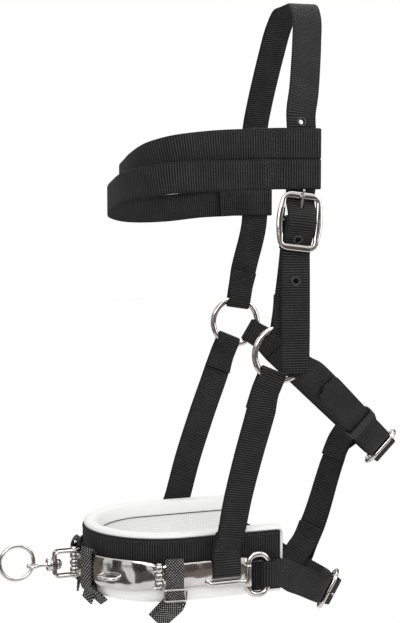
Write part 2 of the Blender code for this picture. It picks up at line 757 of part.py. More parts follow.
def nose_pad():
    middle_out = -PAD_THICKNESS / 2
    middle_up = PAD_HEIGHT / 2 - PAD_BOTTOM
    stations = [(point, outward, 1) for point, outward in nose_line(PAD_REAR - PAD_END_ROUND)]
    for inset, size in reversed(pad_end_shares):
        rear = PAD_REAR - PAD_END_ROUND * inset
        stations.insert(0, (nose_side(-1, rear), -FARWARD, size))
        stations.append((nose_side(1, rear), FARWARD, size))
    points = []
    for point, outward, size in stations:
        for out_share, up_share in pad_section_shares:
            out = middle_out + (PAD_THICKNESS * out_share - middle_out) * size
            up = middle_up + (PAD_HEIGHT * up_share - PAD_BOTTOM - middle_up) * size
            points.append(point + outward * out + AXIS_Z * up)
    mesh_object("nose_pad", points, swept_faces(len(stations), len(pad_section_shares), False), PADDING)


def nose_webbing():
    offset = TOUCH_GAP + BAND_THICKNESS / 2
    line = nose_line(PAD_REAR - BAND_END_INSET)
    stations = [(p + out * offset + AXIS_Z * BAND_RISE, AXIS_Z, 1) for p, out in line]
    ribbon("nose_webbing", stations, BAND_WIDTH, BAND_THICKNESS, WEBBING)


nose_pad()
nose_webbing()


# Nose plates and their hinges
def plate_offset(degrees):
    """The front plates stand further from the pad towards the middle hinge."""
    return PLATE_STAND_OFF + PLATE_PEAK * (1 - min(1, abs(degrees) / SIDE_HINGE_DEG)) ** 2


def hinge_axis(degrees):
    return nose_front(degrees, plate_offset(degrees) + KNUCKLE_STAND_OFF)


def knuckle_prism(name, degrees, away, low, high):
    """A barrel round the pin with a tab that reaches away from it into a plate, as one prism."""
    axis = hinge_axis(degrees)
    out = nose_outward(degrees)
    radius = KNUCKLE_DIAMETER / 2
    half_tab = PLATE_THICKNESS * 0.4
    shoulder_deg = math.degrees(math.asin((half_tab - KNUCKLE_STAND_OFF) / radius))
    outline = []
    steps = 14
    for step in range(steps + 1):
        turn = math.radians(shoulder_deg + (270 - shoulder_deg) * step / steps)
        outline.append((radius * math.cos(turn), radius * math.sin(turn)))
    outline.append((0, -KNUCKLE_STAND_OFF - half_tab))
    outline.append((KNUCKLE_TAB, -KNUCKLE_STAND_OFF - half_tab))
    outline.append((KNUCKLE_TAB, -KNUCKLE_STAND_OFF + half_tab))
    points = []
    for rise in (low, high):
        points += [axis + away * u + out * v + AXIS_Z * rise for u, v in outline]
    return mesh_object(name, points, swept_faces(2, len(outline), False), NICKEL)


def add_knuckles(plate, degrees, side, height, places):
    """Knuckles of one plate at a hinge. places counts knuckle heights up or down from the middle one."""
    away = AXIS_Z.cross(nose_outward(degrees)) * -side
    pitch = height + RUNNING_GAP
    for place in places:
        middle = pitch * place
        name = f"{plate.name}_knuckle_{abs(degrees)}_{place + 1}"
        prism = knuckle_prism(name, degrees, away, middle - height / 2, middle + height / 2)
        combine(plate, prism, "UNION")
    axis = hinge_axis(degrees)
    reach = AXIS_Z * pitch * 2
    hole = rod(f"{plate.name}_hole_{abs(degrees)}", axis - reach, axis + reach, PIN_DIAMETER + RUNNING_GAP * 2)
    combine(plate, hole, "DIFFERENCE")


def end_gap_deg(local_radius):
    return math.degrees(PLATE_END_GAP / (local_radius + PLATE_STAND_OFF))


# Share of the way from the middle hinge to the side hinge, and share of the plate's height
front_plate_shares = (
    (0, 0.7),
    (0.07, 0.82),
    (0.17, 0.94),
    (0.3, 1),
    (0.45, 1),
    (0.6, 1),
    (0.75, 1),
    (0.88, 0.95),
    (1, 0.82),
)


def front_plate(name, side, middle_places):
    first = end_gap_deg(PAD_HALF_WIDTH + PLATE_PEAK)
    last = SIDE_HINGE_DEG - end_gap_deg(PAD_FRONT)
    stations = []
    for way, height_share in front_plate_shares:
        degrees = first + (last - first) * way
        stations.append((nose_front(side * degrees, plate_offset(degrees)), AXIS_Z, height_share))
    plate = ribbon(name, stations, FRONT_PLATE_HEIGHT, PLATE_THICKNESS, NICKEL)
    add_knuckles(plate, 0, side, CENTRE_KNUCKLE_HEIGHT, middle_places)
    add_knuckles(plate, side * SIDE_HINGE_DEG, -side, SIDE_KNUCKLE_HEIGHT, (-1, 1))


def cheek_plate(name, side):
    """A plate with a slot for the cheek strap, and a D for the chin strap cast at its rear end."""
    first = SIDE_HINGE_DEG + end_gap_deg(PAD_FRONT)
    curve = [first + (90 - first) * way for way in (0, 0.2, 0.45, 0.7)]
    shares = (0.86, 0.95, 1, 1)
    stations = []
    for degrees, share in zip(curve, shares, strict=True):
        stations.append((nose_front(side * degrees, PLATE_STAND_OFF), AXIS_Z, share))
    d_front = -(D_WIDTH - D_WIRE) / 2
    for way in (0, 0.25, 0.5, 0.75, 1):
        rear = -PAD_STRAIGHT + (PAD_STRAIGHT + d_front) * way
        stations.append((nose_side(side, rear, PLATE_STAND_OFF), AXIS_Z, 1))
    axis = hinge_axis(side * SIDE_HINGE_DEG)
    plate = ribbon(name, stations, CHEEK_PLATE_HEIGHT, PLATE_THICKNESS, NICKEL, origin=axis)
    middle = nose_side(side, 0, PLATE_STAND_OFF + D_OUTSET, side * D_OFFSET)
    outline = rounded_rectangle(-d_front, (D_HEIGHT - D_WIRE) / 2, D_CORNER)
    path = [middle + REARWARD * u + AXIS_Z * v for u, v in outline]
    combine(plate, wire_sweep(f"{name}_d", path, FARWARD, D_WIRE), "UNION")
    rim_rise = -SLOT_TOP_BELOW - SLOT_HEIGHT - SLOT_RIM / 2
    rim_start = nose_side(side, -SLOT_AHEAD - SLOT_LENGTH / 2 - SLOT_RIM / 2, PLATE_STAND_OFF, rim_rise)
    rim_end = nose_side(side, d_front + TOUCH_GAP, PLATE_STAND_OFF, rim_rise)
    combine(plate, rod(f"{name}_rim", rim_start, rim_end, SLOT_RIM), "UNION")
    slot = nose_side(side, -SLOT_AHEAD, PLATE_STAND_OFF, -SLOT_TOP_BELOW - SLOT_HEIGHT / 2)
    size = (SLOT_LENGTH, D_WIRE * 2, SLOT_HEIGHT)
    combine(plate, block(f"{name}_slot", slot, (REARWARD, FARWARD, AXIS_Z), size), "DIFFERENCE")
    add_knuckles(plate, side * SIDE_HINGE_DEG, side, SIDE_KNUCKLE_HEIGHT, (0,))


def hinge_pin(name, degrees, half_stack):
    """A pin with a head at each end."""
    head = PIN_HEAD_DIAMETER / 2
    half = half_stack + RUNNING_GAP
    end = half + PIN_HEAD_HEIGHT
    shank = PIN_DIAMETER / 2
    profile = [(head * 0.7, -end), (head, -(half + end) / 2), (head, -half), (shank, -half)]
    profile += [(shank, half), (head, half), (head, (half + end) / 2), (head * 0.7, end)]
    turned(name, profile, hinge_axis(degrees), AXIS_Z)


front_plate("near_front_plate", -1, (-1, 1))
front_plate("far_front_plate", 1, (0,))
cheek_plate("near_cheek_plate", -1)
cheek_plate("far_cheek_plate", 1)
CENTRE_STACK = CENTRE_KNUCKLE_HEIGHT * 1.5 + RUNNING_GAP
SIDE_STACK = SIDE_KNUCKLE_HEIGHT * 1.5 + RUNNING_GAP
ARM_FROM = CENTRE_STACK + RUNNING_GAP
hinge_pin("centre_hinge_pin", 0, ARM_FROM + BRACKET_THICKNESS)
hinge_pin("near_hinge_pin", -SIDE_HINGE_DEG, SIDE_STACK)
hinge_pin("far_hinge_pin", SIDE_HINGE_DEG, SIDE_STACK)

# Swivel: a bracket on the middle pin, a shank that turns in it, and the ring for the lunge line
PIN_AXIS = hinge_axis(0)
FORWARD = -REARWARD


def swivel_bracket():
    arm = ARM_FROM + BRACKET_THICKNESS / 2
    back = BRACKET_LENGTH
    tail = BRACKET_WIDTH / 2
    bend = BRACKET_THICKNESS
    corners = [
        (-tail, arm),
        (0, arm),
        (back * 0.5, arm),
        (back - bend, arm),
        (back - bend * 0.3, arm - bend * 0.3),
        (back, arm - bend),
        (back, 0),
        (back, bend - arm),
        (back - bend * 0.3, bend * 0.3 - arm),
        (back - bend, -arm),
        (back * 0.5, -arm),
        (0, -arm),
        (-tail, -arm),
    ]
    stations = [(PIN_AXIS + FORWARD * u + AXIS_Z * v, FARWARD, 1) for u, v in corners]
    for end in (0, -1):
        stations[end] = (stations[end][0], FARWARD, 0.6)
    body = ribbon("swivel_bracket", stations, BRACKET_WIDTH, BRACKET_THICKNESS, NICKEL, origin=PIN_AXIS)
    reach = AXIS_Z * arm * 2
    running = RUNNING_GAP * 2
    combine(body, rod("bracket_pin_hole", PIN_AXIS - reach, PIN_AXIS + reach, PIN_DIAMETER + running), "DIFFERENCE")
    front = PIN_AXIS + FORWARD * (back + BRACKET_WIDTH)
    middle = PIN_AXIS + FORWARD * back / 2
    combine(body, rod("bracket_shank_hole", middle, front, SHANK_DIAMETER + running), "DIFFERENCE")


# Radius and distance behind its face of the swivel's domed head, in shares of its size
dome_shares = ((0.3, 1), (0.62, 0.88), (0.88, 0.6), (0.98, 0.25))


def swivel_shank():
    """A domed head inside the bracket, a collar outside it, and a stem that ends in a flat eye."""
    half_bracket = BRACKET_THICKNESS / 2 + RUNNING_GAP
    head_face = BRACKET_LENGTH - half_bracket
    collar_face = BRACKET_LENGTH + half_bracket
    head, shank, collar, stem = (d / 2 for d in (HEAD_DIAMETER, SHANK_DIAMETER, COLLAR_DIAMETER, STEM_DIAMETER))
    collar_end = collar_face + COLLAR_LENGTH
    stem_end = collar_end + STEM_LENGTH
    profile = [(head * share, head_face - HEAD_LENGTH * depth) for share, depth in dome_shares]
    profile += [(head, head_face), (shank, head_face), (shank, collar_face), (collar * 0.9, collar_face)]
    profile += [(collar, collar_face + COLLAR_LENGTH * 0.15), (collar, collar_face + COLLAR_LENGTH * 0.85)]
    profile += [(collar * 0.9, collar_end), (stem, collar_end), (stem, stem_end)]
    body = turned("swivel_shank", profile, PIN_AXIS, FORWARD, origin=PIN_AXIS + FORWARD * BRACKET_LENGTH)
    eye_radius = (EYE_HOLE + EYE_WIRE) / 2
    eye = PIN_AXIS + FORWARD * (stem_end + eye_radius)
    loop = flat_ring("swivel_eye", eye, eye_radius, EYE_WIRE, (REARWARD, FARWARD), RING_STEPS // 2, THIN_WIRE_SIDES)
    combine(body, loop, "UNION")
    mean = (LEAD_RING_DIAMETER - LEAD_RING_WIRE) / 2
    rise = math.radians(LEAD_RING_RISE_DEG)
    centre = eye + (FORWARD * math.cos(rise) + AXIS_Z * math.sin(rise)) * mean
    path = [centre + REARWARD * a + AXIS_Z * b for a, b in circle(RING_STEPS, mean)]
    wire_sweep("lead_ring", path, FARWARD, LEAD_RING_WIRE, origin=eye, sides=THIN_WIRE_SIDES)


swivel_bracket()
swivel_shank()


# Cheek straps, from the cheek rings down through the slots of the cheek plates
# A row is a share of the way, then how far the strap bows as shares of its free run
cheek_bow_shares = ((0.35, -0.012, 0, 0), (0.7, -0.014, 0, 0))


def cheek_strap(name, side, ring_centre):
    outward = FARWARD * side
    radius = PLATE_THICKNESS / 2 + TOUCH_GAP + WEBBING_THICKNESS / 2
    drop = -SLOT_TOP_BELOW + radius * 0.25
    start = nose_side(side, -SLOT_AHEAD, PLATE_STAND_OFF, drop)
    clear = CHEEK_PLATE_HEIGHT / 2 - drop + TOUCH_GAP
    away, _ = ring_directions(CHEEK_RING_DEG)
    ring_leg = ring_centre + away * RING_LEG
    leg = start + AXIS_Z * (clear + radius * 2)
    lean = (ring_leg - leg).normalized()
    lower = fold(start, AXIS_Z, outward, -REARWARD, radius, clear, lean)
    upper = ring_fold(ring_centre, CHEEK_RING_DEG, AXIS_Y * side, leg)
    strap(name, [*upper, *run(upper[-1], lower[-1], cheek_bow_shares), *reversed(lower)])


cheek_strap("near_cheek_strap", -1, NEAR_RING)
cheek_strap("far_cheek_strap", 1, FAR_RING)


# Straps under the throat and under the chin
class Hanging:
    """The curve in which a strap hangs between two ends, with shares from -1 (near) to 1 (far)."""

    def __init__(self, near_end, far_end, slope_deg, depth):
        slope = math.radians(slope_deg)
        self.middle = (near_end + far_end) / 2
        self.half = (far_end - near_end) / 2
        self.down = AXIS_X * math.cos(slope) - AXIS_Z * math.sin(slope)
        self.across = AXIS_X * math.sin(slope) + AXIS_Z * math.cos(slope)
        self.depth = depth

    def way(self, share):
        return (self.half - self.down * (2 * share * self.depth)).normalized()

    def outward(self, share):
        return self.way(share).cross(self.across).normalized()

    def point(self, share, offset=0):
        place = self.middle + self.half * share + self.down * (self.depth * (1 - share**2))
        return place + self.outward(share) * offset

    def knots(self, shares, offset):
        return [(self.point(share, offset), self.across, 1) for share in shares]


THROAT_LEG = ring_directions(THROAT_RING_DEG)[0] * RING_LEG
throat = Hanging(NEAR_RING + THROAT_LEG, FAR_RING + THROAT_LEG, THROAT_SLOPE_DEG, THROAT_DEPTH)
throat_seat = buckle_seat(
    throat.point(throat_buckle_share),
    throat.way(throat_buckle_share),
    throat.outward(throat_buckle_share),
    HALF_LAYER,
)
BILLET_OFFSET = HALF_LAYER + LAYER_STEP


def throat_straps():
    near_end = ring_fold(NEAR_RING, THROAT_RING_DEG, -AXIS_Y, throat.point(-0.9))
    along = throat.knots((-0.84, -0.68, -0.54), HALF_LAYER)
    end = buckle_end(throat_seat)
    near = facing([*near_end, *along, *end], throat.across)
    cut_tongue_slot(strap("near_throat_strap", near), "throat", throat_seat)
    far_end = ring_fold(FAR_RING, THROAT_RING_DEG, AXIS_Y, throat.point(0.9))
    knots = [*far_end, *throat.knots((0.84, 0.68, 0.5, 0.36, 0.26), HALF_LAYER), *billet_through(throat_seat)]
    tail = layer_over(near, near_end[-1][0], end[0][0], throat_seat[3])
    body = billet("far_throat_strap", facing(knots, throat.across), tail)
    cut_tongue_hole(body, "throat", throat_seat)
    buckle("throat", throat_seat)


throat_straps()

D_MIDDLE_BAR = (D_WIDTH - D_WIRE) / 2
D_FOLD = D_WIRE / 2 + TOUCH_GAP + WEBBING_THICKNESS / 2
D_CLEAR = D_WIRE / 2 + TOUCH_GAP
D_LEG = D_CLEAR + D_FOLD * 2
chin = Hanging(
    nose_side(-1, D_MIDDLE_BAR + D_LEG, PLATE_STAND_OFF + D_OUTSET, -D_OFFSET),
    nose_side(1, D_MIDDLE_BAR + D_LEG, PLATE_STAND_OFF + D_OUTSET, D_OFFSET),
    CHIN_SLOPE_DEG,
    CHIN_DEPTH,
)
chin_seat = buckle_seat(
    chin.point(chin_buckle_share),
    -chin.way(chin_buckle_share),
    chin.outward(chin_buckle_share),
    HALF_LAYER,
)


def d_fold(side):
    """A chin strap's end folded round the rear of a D."""
    bar = nose_side(side, D_MIDDLE_BAR, PLATE_STAND_OFF + D_OUTSET, side * D_OFFSET)
    lean = (chin.point(side * 0.88) - chin.point(side)).normalized()
    return fold(bar, REARWARD, FARWARD * side, AXIS_Z, D_FOLD, D_CLEAR, lean, NECK_SHARE)


def chin_straps():
    along = chin.knots((0.78, 0.66, 0.54, 0.42, 0.3), HALF_LAYER)
    end = buckle_end(chin_seat)
    far = facing([*d_fold(1), *along, *end], chin.across)
    cut_tongue_slot(strap("far_chin_strap", far), "chin", chin_seat)
    knots = [*d_fold(-1), *chin.knots((-0.76,), HALF_LAYER), *billet_through(chin_seat)]
    tail = layer_over(far, along[1][0], end[0][0], chin_seat[3])
    body = billet("near_chin_strap", facing(knots, chin.across), tail)
    cut_tongue_hole(body, "chin", chin_seat)
    buckle("chin", chin_seat)


chin_straps()


def loop_over(curve, share, offset, layers, away_sign, towards):
    """An end folded right round a hanging strap of one or two layers."""
    away = curve.across * away_sign
    clear = WEBBING_WIDTH + LOOP_SLACK * 2
    radius = (LAYER_STEP * (layers - 1) + WEBBING_THICKNESS) / 2 + LOOP_SLACK + WEBBING_THICKNESS / 2
    bar = curve.point(share, offset) - away * clear / 2
    lean = (towards - bar - away * (clear + radius * 2)).normalized()
    return fold(bar, away, curve.outward(share), curve.way(share), radius, clear, lean)


def jaw_strap():
    top_middle = throat.point(throat_jaw_share)
    bottom_middle = chin.point(chin_jaw_share)
    two_layers = (HALF_LAYER + BILLET_OFFSET) / 2
    top = loop_over(throat, throat_jaw_share, HALF_LAYER, 1, -1, bottom_middle)
    bottom = loop_over(chin, chin_jaw_share, two_layers, 2, 1, top_middle)
    strap("jaw_strap", facing([*top, *reversed(bottom)], throat.way(throat_jaw_share)))


jaw_strap()


def throat_keeper():
    """A closed loop round the near throat strap and the billet on it."""
    share = -0.62
    way = throat.way(share)
    middle = throat.point(share, (HALF_LAYER + BILLET_OFFSET) / 2)
    half_wide = WEBBING_WIDTH / 2 + LAYER_GAP + KEEPER_THICKNESS / 2
    half_deep = LAYER_STEP / 2 + WEBBING_THICKNESS / 2 + LAYER_GAP * 1.4 + KEEPER_THICKNESS / 2
    outline = rounded_rectangle(half_wide, half_deep, half_deep * 0.6)
    stations = [(middle + throat.across * u + throat.outward(share) * v, way, 1) for u, v in outline]
    ribbon("throat_keeper", stations, KEEPER_WIDTH, KEEPER_THICKNESS, WEBBING, closed=True)


throat_keeper()

# Share of the way along a rein loop from its middle, and share of how far it stands out
rein_loop_shares = (
    (-1, 0),
    (-1, 0.45),
    (-0.85, 0.8),
    (-0.5, 1),
    (0, 1.06),
    (0.5, 1),
    (0.85, 0.8),
    (1, 0.45),
    (1, 0),
)


def rein_loop(name, side):
    """A staple that stands out from a front plate, with its two ends on the plate."""
    degrees = side * REIN_LOOP_DEG
    face = plate_offset(degrees) + PLATE_THICKNESS / 2 + TOUCH_GAP
    half_deg = math.degrees(REIN_LOOP_SPAN / 2 / (PAD_HALF_WIDTH + face))
    path = []
    for way, reach in rein_loop_shares:
        path.append(nose_front(degrees + half_deg * way, face + REIN_LOOP_REACH * reach, -REIN_LOOP_LEVEL))
    wire_sweep(name, path, AXIS_Z, REIN_LOOP_WIRE, closed=False)


def plate_place(degrees):
    """A point in the middle of a plate, the direction along the plate there, and its outward normal."""
    ends = [nose_front(degrees + turn, plate_offset(degrees + turn)) for turn in (-1, 1)]
    way = (ends[1] - ends[0]).normalized()
    return nose_front(degrees, plate_offset(degrees)), way, AXIS_Z.cross(way)


# A tie tape round a plate: steps out from the plate's middle, and up in shares of half its height
tape_shares = ((-1, -1.08), (-1, -0.6), (-1, 0.6), (-1, 1.02), (0, 1.3), (1, 1.02), (1, 0.6), (1, -0.6), (1, -1.08))


def tie_tape(name, degrees, plate_height, width, tail, spread):
    """A tape up behind a plate, over its top and down in front, with both tails hanging below."""
    middle, across, outward = plate_place(degrees)
    step = PLATE_THICKNESS / 2 + LAYER_GAP + TAPE_THICKNESS / 2
    half = plate_height / 2
    knots = [(middle + outward * step * out + AXIS_Z * half * up, across, 1) for out, up in tape_shares]
    below = -half * 1.2 - tail
    ends = []
    for out, lean in ((-1, spread), (1, -spread)):
        place = middle + outward * step * out + AXIS_Z * below + across * tail * lean
        ends.append((place, across, 0.9))
    stations = smooth([ends[0], *knots, ends[1]])
    ribbon(name, stations, width, TAPE_THICKNESS, TAPE)


def tape_slide(name, degrees):
    """A wire frame that holds the front tail of a side tape."""
    middle, across, outward = plate_place(degrees)
    step = PLATE_THICKNESS / 2 + LAYER_GAP * 2 + TAPE_THICKNESS + SLIDE_WIRE / 2
    middle += outward * step - AXIS_Z * (CHEEK_PLATE_HEIGHT + SLIDE_HEIGHT) / 2
    half_long = SIDE_TAPE_WIDTH / 2 + TOUCH_GAP * 2 + SLIDE_WIRE / 2
    outline = rounded_rectangle(half_long, (SLIDE_HEIGHT - SLIDE_WIRE) / 2, SLIDE_WIRE)
    path = [middle + across * u + AXIS_Z * v for u, v in outline]
    wire_sweep(name, path, outward, SLIDE_WIRE, sides=THIN_WIRE_SIDES)


for side_name, side in (("near", -1), ("far", 1)):
    rein_loop(f"{side_name}_rein_loop", side)
    tie_tape(f"{side_name}_front_tie_tape", side * FRONT_TAPE_DEG, FRONT_PLATE_HEIGHT, FRONT_TAPE_WIDTH, FRONT_TAIL, 0.3)
    tie_tape(f"{side_name}_side_tie_tape", side * SIDE_TAPE_DEG, CHEEK_PLATE_HEIGHT, SIDE_TAPE_WIDTH, SIDE_TAIL, 0.25)
    tape_slide(f"{side_name}_tape_slide", side * SIDE_TAPE_DEG)
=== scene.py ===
"""A lunging cavesson of black webbing with a padded white noseband and bright nickel fittings.

It hangs from its crownpiece as on a horse's head, nose towards -X and near side towards -Y.
Straps follow the routes of their solids in the frame, and fittings sit where the frame has them.
"""

import json
import math

import bmesh
import bpy
import numpy as np
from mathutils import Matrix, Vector


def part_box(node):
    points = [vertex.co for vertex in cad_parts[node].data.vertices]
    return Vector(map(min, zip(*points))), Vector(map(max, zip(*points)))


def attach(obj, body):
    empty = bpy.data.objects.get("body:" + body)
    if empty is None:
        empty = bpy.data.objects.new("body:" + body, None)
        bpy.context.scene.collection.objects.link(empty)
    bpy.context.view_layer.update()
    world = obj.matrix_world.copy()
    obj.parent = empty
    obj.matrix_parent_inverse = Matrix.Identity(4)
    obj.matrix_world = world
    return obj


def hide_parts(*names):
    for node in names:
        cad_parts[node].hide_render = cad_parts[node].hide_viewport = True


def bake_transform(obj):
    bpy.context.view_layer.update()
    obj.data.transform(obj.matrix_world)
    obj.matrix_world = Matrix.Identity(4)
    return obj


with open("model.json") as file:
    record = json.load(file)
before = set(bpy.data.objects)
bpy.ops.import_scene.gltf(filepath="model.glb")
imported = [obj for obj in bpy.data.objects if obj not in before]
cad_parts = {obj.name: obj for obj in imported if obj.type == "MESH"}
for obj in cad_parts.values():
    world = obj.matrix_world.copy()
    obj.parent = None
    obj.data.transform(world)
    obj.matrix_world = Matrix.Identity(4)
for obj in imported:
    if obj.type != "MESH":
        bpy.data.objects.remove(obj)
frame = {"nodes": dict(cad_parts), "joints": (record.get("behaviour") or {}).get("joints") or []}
joints = {joint["name"]: joint for joint in frame["joints"]}
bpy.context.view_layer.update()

MM = 0.001
AXIS_X = Vector((1, 0, 0))
AXIS_Y = Vector((0, 1, 0))
AXIS_Z = Vector((0, 0, 1))


# Studio
# A camera at the eye height of someone standing by the horse's near side, a wide pale floor
# well below the hanging cavesson, and large soft lamps on both sides and above.
def placed(name, data):
    """A new object in the scene."""
    thing = bpy.data.objects.new(name, data)
    bpy.context.scene.collection.objects.link(thing)
    return thing


def aim(thing, place, target):
    """Puts a lamp or a camera somewhere and points it at a target."""
    thing.location = place
    thing.rotation_euler = (Vector(target) - Vector(place)).to_track_quat("-Z", "Y").to_euler()


VIEW_CENTRE = Vector((-0.085, 0, -0.262))
VIEW_DISTANCE = 1.2
VIEW_TURN = math.radians(-15)
VIEW_RISE = math.radians(5)
FOCAL_PIXELS = 1380
FRAME_PIXELS = 623
camera_data = bpy.data.cameras.new("camera")
camera_data.sensor_fit = "VERTICAL"
camera_data.sensor_height = 24
camera_data.lens = FOCAL_PIXELS / FRAME_PIXELS * camera_data.sensor_height
camera = placed("camera", camera_data)
level_way = Vector((math.sin(VIEW_TURN), -math.cos(VIEW_TURN), 0))
to_camera = level_way * math.cos(VIEW_RISE) + AXIS_Z * math.sin(VIEW_RISE)
aim(camera, VIEW_CENTRE + to_camera * VIEW_DISTANCE, VIEW_CENTRE)
bpy.context.scene.camera = camera
bpy.context.scene.view_settings.view_transform = "Standard"
LAMP_TARGET = (-0.08, 0, -0.3)


def soft_lamp(name, place, size, watts):
    data = bpy.data.lights.new(name, "AREA")
    data.shape = "RECTANGLE"
    data.size, data.size_y = size
    data.energy = watts
    aim(placed(name, data), place, LAMP_TARGET)


soft_lamp("lamp_near", (-0.9, -1.7, 0.7), (1.2, 1.4), 21)
soft_lamp("lamp_behind", (1.3, -0.7, 0.3), (0.7, 1.4), 10)
soft_lamp("lamp_far", (0.3, 1.8, 0.9), (1.6, 1.2), 14)
soft_lamp("lamp_above", (0, -0.2, 1.6), (1.6, 1.6), 13)


class Field:
    """An output of a shader node, on which plain sums can be written."""

    def __init__(self, shading, socket):
        self.shading = shading
        self.socket = socket

    def math(self, operation, *others):
        values = dict(enumerate((self, *others)))
        return self.shading.field("ShaderNodeMath", {"operation": operation}, values)

    def __add__(self, other):
        return self.math("ADD", other)

    def __sub__(self, other):
        return self.math("SUBTRACT", other)

    def __mul__(self, other):
        return self.math("MULTIPLY", other)

    def __truediv__(self, other):
        return self.math("DIVIDE", other)

    def __rsub__(self, other):
        return self.math("MULTIPLY_ADD", -1, other)

    def ridges(self, pitch):
        """Rounded ridges a pitch apart, 0 in the valleys and 1 on top."""
        return (self * (math.pi / pitch)).math("SINE").math("ABSOLUTE")

    def above(self, edge, soft):
        """1 well above an edge, 0 well below it."""
        values = {"Value": self, "From Min": edge - soft, "From Max": edge + soft}
        return self.shading.field("ShaderNodeMapRange", {"interpolation_type": "SMOOTHSTEP"}, values)


class Shading:
    """The node tree of a material or of the world."""

    def __init__(self, owner):
        owner.use_nodes = True
        self.tree = owner.node_tree

    def node(self, kind, settings=None, values=None):
        made = self.tree.nodes.new(kind)
        for name, value in (settings or {}).items():
            setattr(made, name, value)
        for name, value in (values or {}).items():
            if isinstance(value, Field):
                self.tree.links.new(value.socket, made.inputs[name])
            else:
                made.inputs[name].default_value = value
        return made

    def field(self, kind, settings=None, values=None, output=0):
        return Field(self, self.node(kind, settings, values).outputs[output])


class Finish(Shading):
    """A material that is built node by node round one Principled shader."""

    def __init__(self, name, **sockets):
        self.material = bpy.data.materials.new(name)
        super().__init__(self.material)
        self.shader = self.tree.nodes["Principled BSDF"]
        for socket, value in sockets.items():
            self.shader.inputs[socket.replace("_", " ")].default_value = value

    def feed(self, socket, value):
        self.tree.links.new(value.socket, self.shader.inputs[socket])

    def place(self, stretch=(1, 1, 1)):
        """Where a point is on the object, in millimetres that may be stretched."""
        values = {0: self.field("ShaderNodeTexCoord", output=3), 1: [1000 * share for share in stretch]}
        return self.field("ShaderNodeVectorMath", {"operation": "MULTIPLY"}, values)

    def walked(self, name):
        """The two distances in one of the piece's maps, in millimetres."""
        place = self.field("ShaderNodeUVMap", {"uv_map": name})
        split = self.node("ShaderNodeSeparateXYZ", {}, {0: place})
        return [Field(self, split.outputs[k]) * 1000 for k in (0, 1)]

    def noise(self, where, size_mm, detail=2):
        values = {"Vector": where, "Scale": 1 / size_mm, "Detail": detail}
        return self.field("ShaderNodeTexNoise", {}, values)

    def mix(self, factor, first, second):
        values = {0: factor, 6: first, 7: second}
        return self.field("ShaderNodeMix", {"data_type": "RGBA"}, values, 2)

    def bump(self, height, depth_mm, strength=1, **normal):
        values = {"Height": height, "Distance": depth_mm * MM, "Strength": strength, **normal}
        return self.field("ShaderNodeBump", {}, values)


FLOOR_LEVEL = -0.72
FLOOR_HALF = 6
FLOOR_GLOW = 0.98
SKY_LIGHT = 0.4


def studio_floor():
    """A pale floor that takes shadows and looks nearly white to the camera."""
    mesh = bpy.data.meshes.new("floor")
    corners = ((-1, -1), (1, -1), (1, 1), (-1, 1))
    mesh.from_pydata([(x * FLOOR_HALF, y * FLOOR_HALF, FLOOR_LEVEL) for x, y in corners], [], [(0, 1, 2, 3)])
    pale = Finish("pale_floor", Base_Color=(0.93, 0.93, 0.93, 1), Roughness=0.9)
    glow = pale.field("ShaderNodeEmission", {}, {"Color": (1, 1, 1, 1), "Strength": 1})
    seen = pale.field("ShaderNodeLightPath") * FLOOR_GLOW
    shaders = {"Fac": seen, 1: Field(pale, pale.shader.outputs[0]), 2: glow}
    blend = pale.node("ShaderNodeMixShader", {}, shaders)
    pale.tree.links.new(blend.outputs[0], pale.tree.nodes["Material Output"].inputs["Surface"])
    mesh.materials.append(pale.material)
    placed("floor", mesh)


def studio_sky():
    """A white room to the camera and in mirrors, which lights the object more dimly."""
    world = bpy.data.worlds.new("studio")
    bpy.context.scene.world = world
    sky = Shading(world)
    rays = sky.node("ShaderNodeLightPath").outputs
    plain = Field(sky, rays["Is Camera Ray"]).math("MAXIMUM", Field(sky, rays["Is Glossy Ray"]))
    level = sky.field("ShaderNodeMapRange", {}, {"Value": plain, "To Min": SKY_LIGHT})
    room = sky.tree.nodes["Background"].inputs
    room["Color"].default_value = (1, 1, 1, 1)
    sky.tree.links.new(level.socket, room["Strength"])


studio_floor()
studio_sky()
FLAG_RADIUS = 2.6
FLAG_NEAREST = 0.6
FLAG_FLOOR = FLOOR_LEVEL + 0.01
FLAG_TOP = 0.5
flag_rows = ((FLAG_NEAREST, FLAG_FLOOR, 0.35), (FLAG_RADIUS, FLAG_FLOOR, 1), (FLAG_RADIUS, FLAG_TOP, 1))
flag_cloths = [
    Finish(f"dark_flag_cloth_{k}", Base_Color=(*colour, 1), Roughness=1).material
    for k, colour in enumerate(((0.05, 0.042, 0.038), (0.16, 0.125, 0.11)))
]


def dark_flag(name, way_deg, breadth, cloth):
    """A dark cloth on a frame and another before it on the floor, which only polished metal shows."""
    way = math.radians(way_deg)
    out = Vector((math.cos(way), math.sin(way), 0))
    side = AXIS_Z.cross(out) * breadth / 2
    corners = []
    for distance, level, share in flag_rows:
        corners += [tuple(out * distance + side * share * k + AXIS_Z * level) for k in (-1, 1)]
    mesh = bpy.data.meshes.new(name)
    mesh.from_pydata(corners, [], [(0, 1, 3, 2), (2, 3, 5, 4)])
    mesh.materials.append(cloth)
    flag = placed(name, mesh)
    flag.visible_camera = flag.visible_diffuse = flag.visible_shadow = flag.visible_transmission = False


# Each flag: the way it stands from the object, its width, and which of the two cloths it has
flags = ((-128, 0.85, 0), (-104, 0.9, 0), (-76, 1.15, 1), (-47, 0.8, 0), (-15, 1.0, 1), (20, 0.9, 0))
flags += ((55, 1.1, 1), (90, 1.2, 0), (122, 0.9, 1), (150, 0.9, 0), (176, 0.75, 1), (-158, 0.8, 0))
for number, (way_deg, breadth, cloth) in enumerate(flags):
    dark_flag(f"flag_{number}", way_deg, breadth, flag_cloths[cloth])


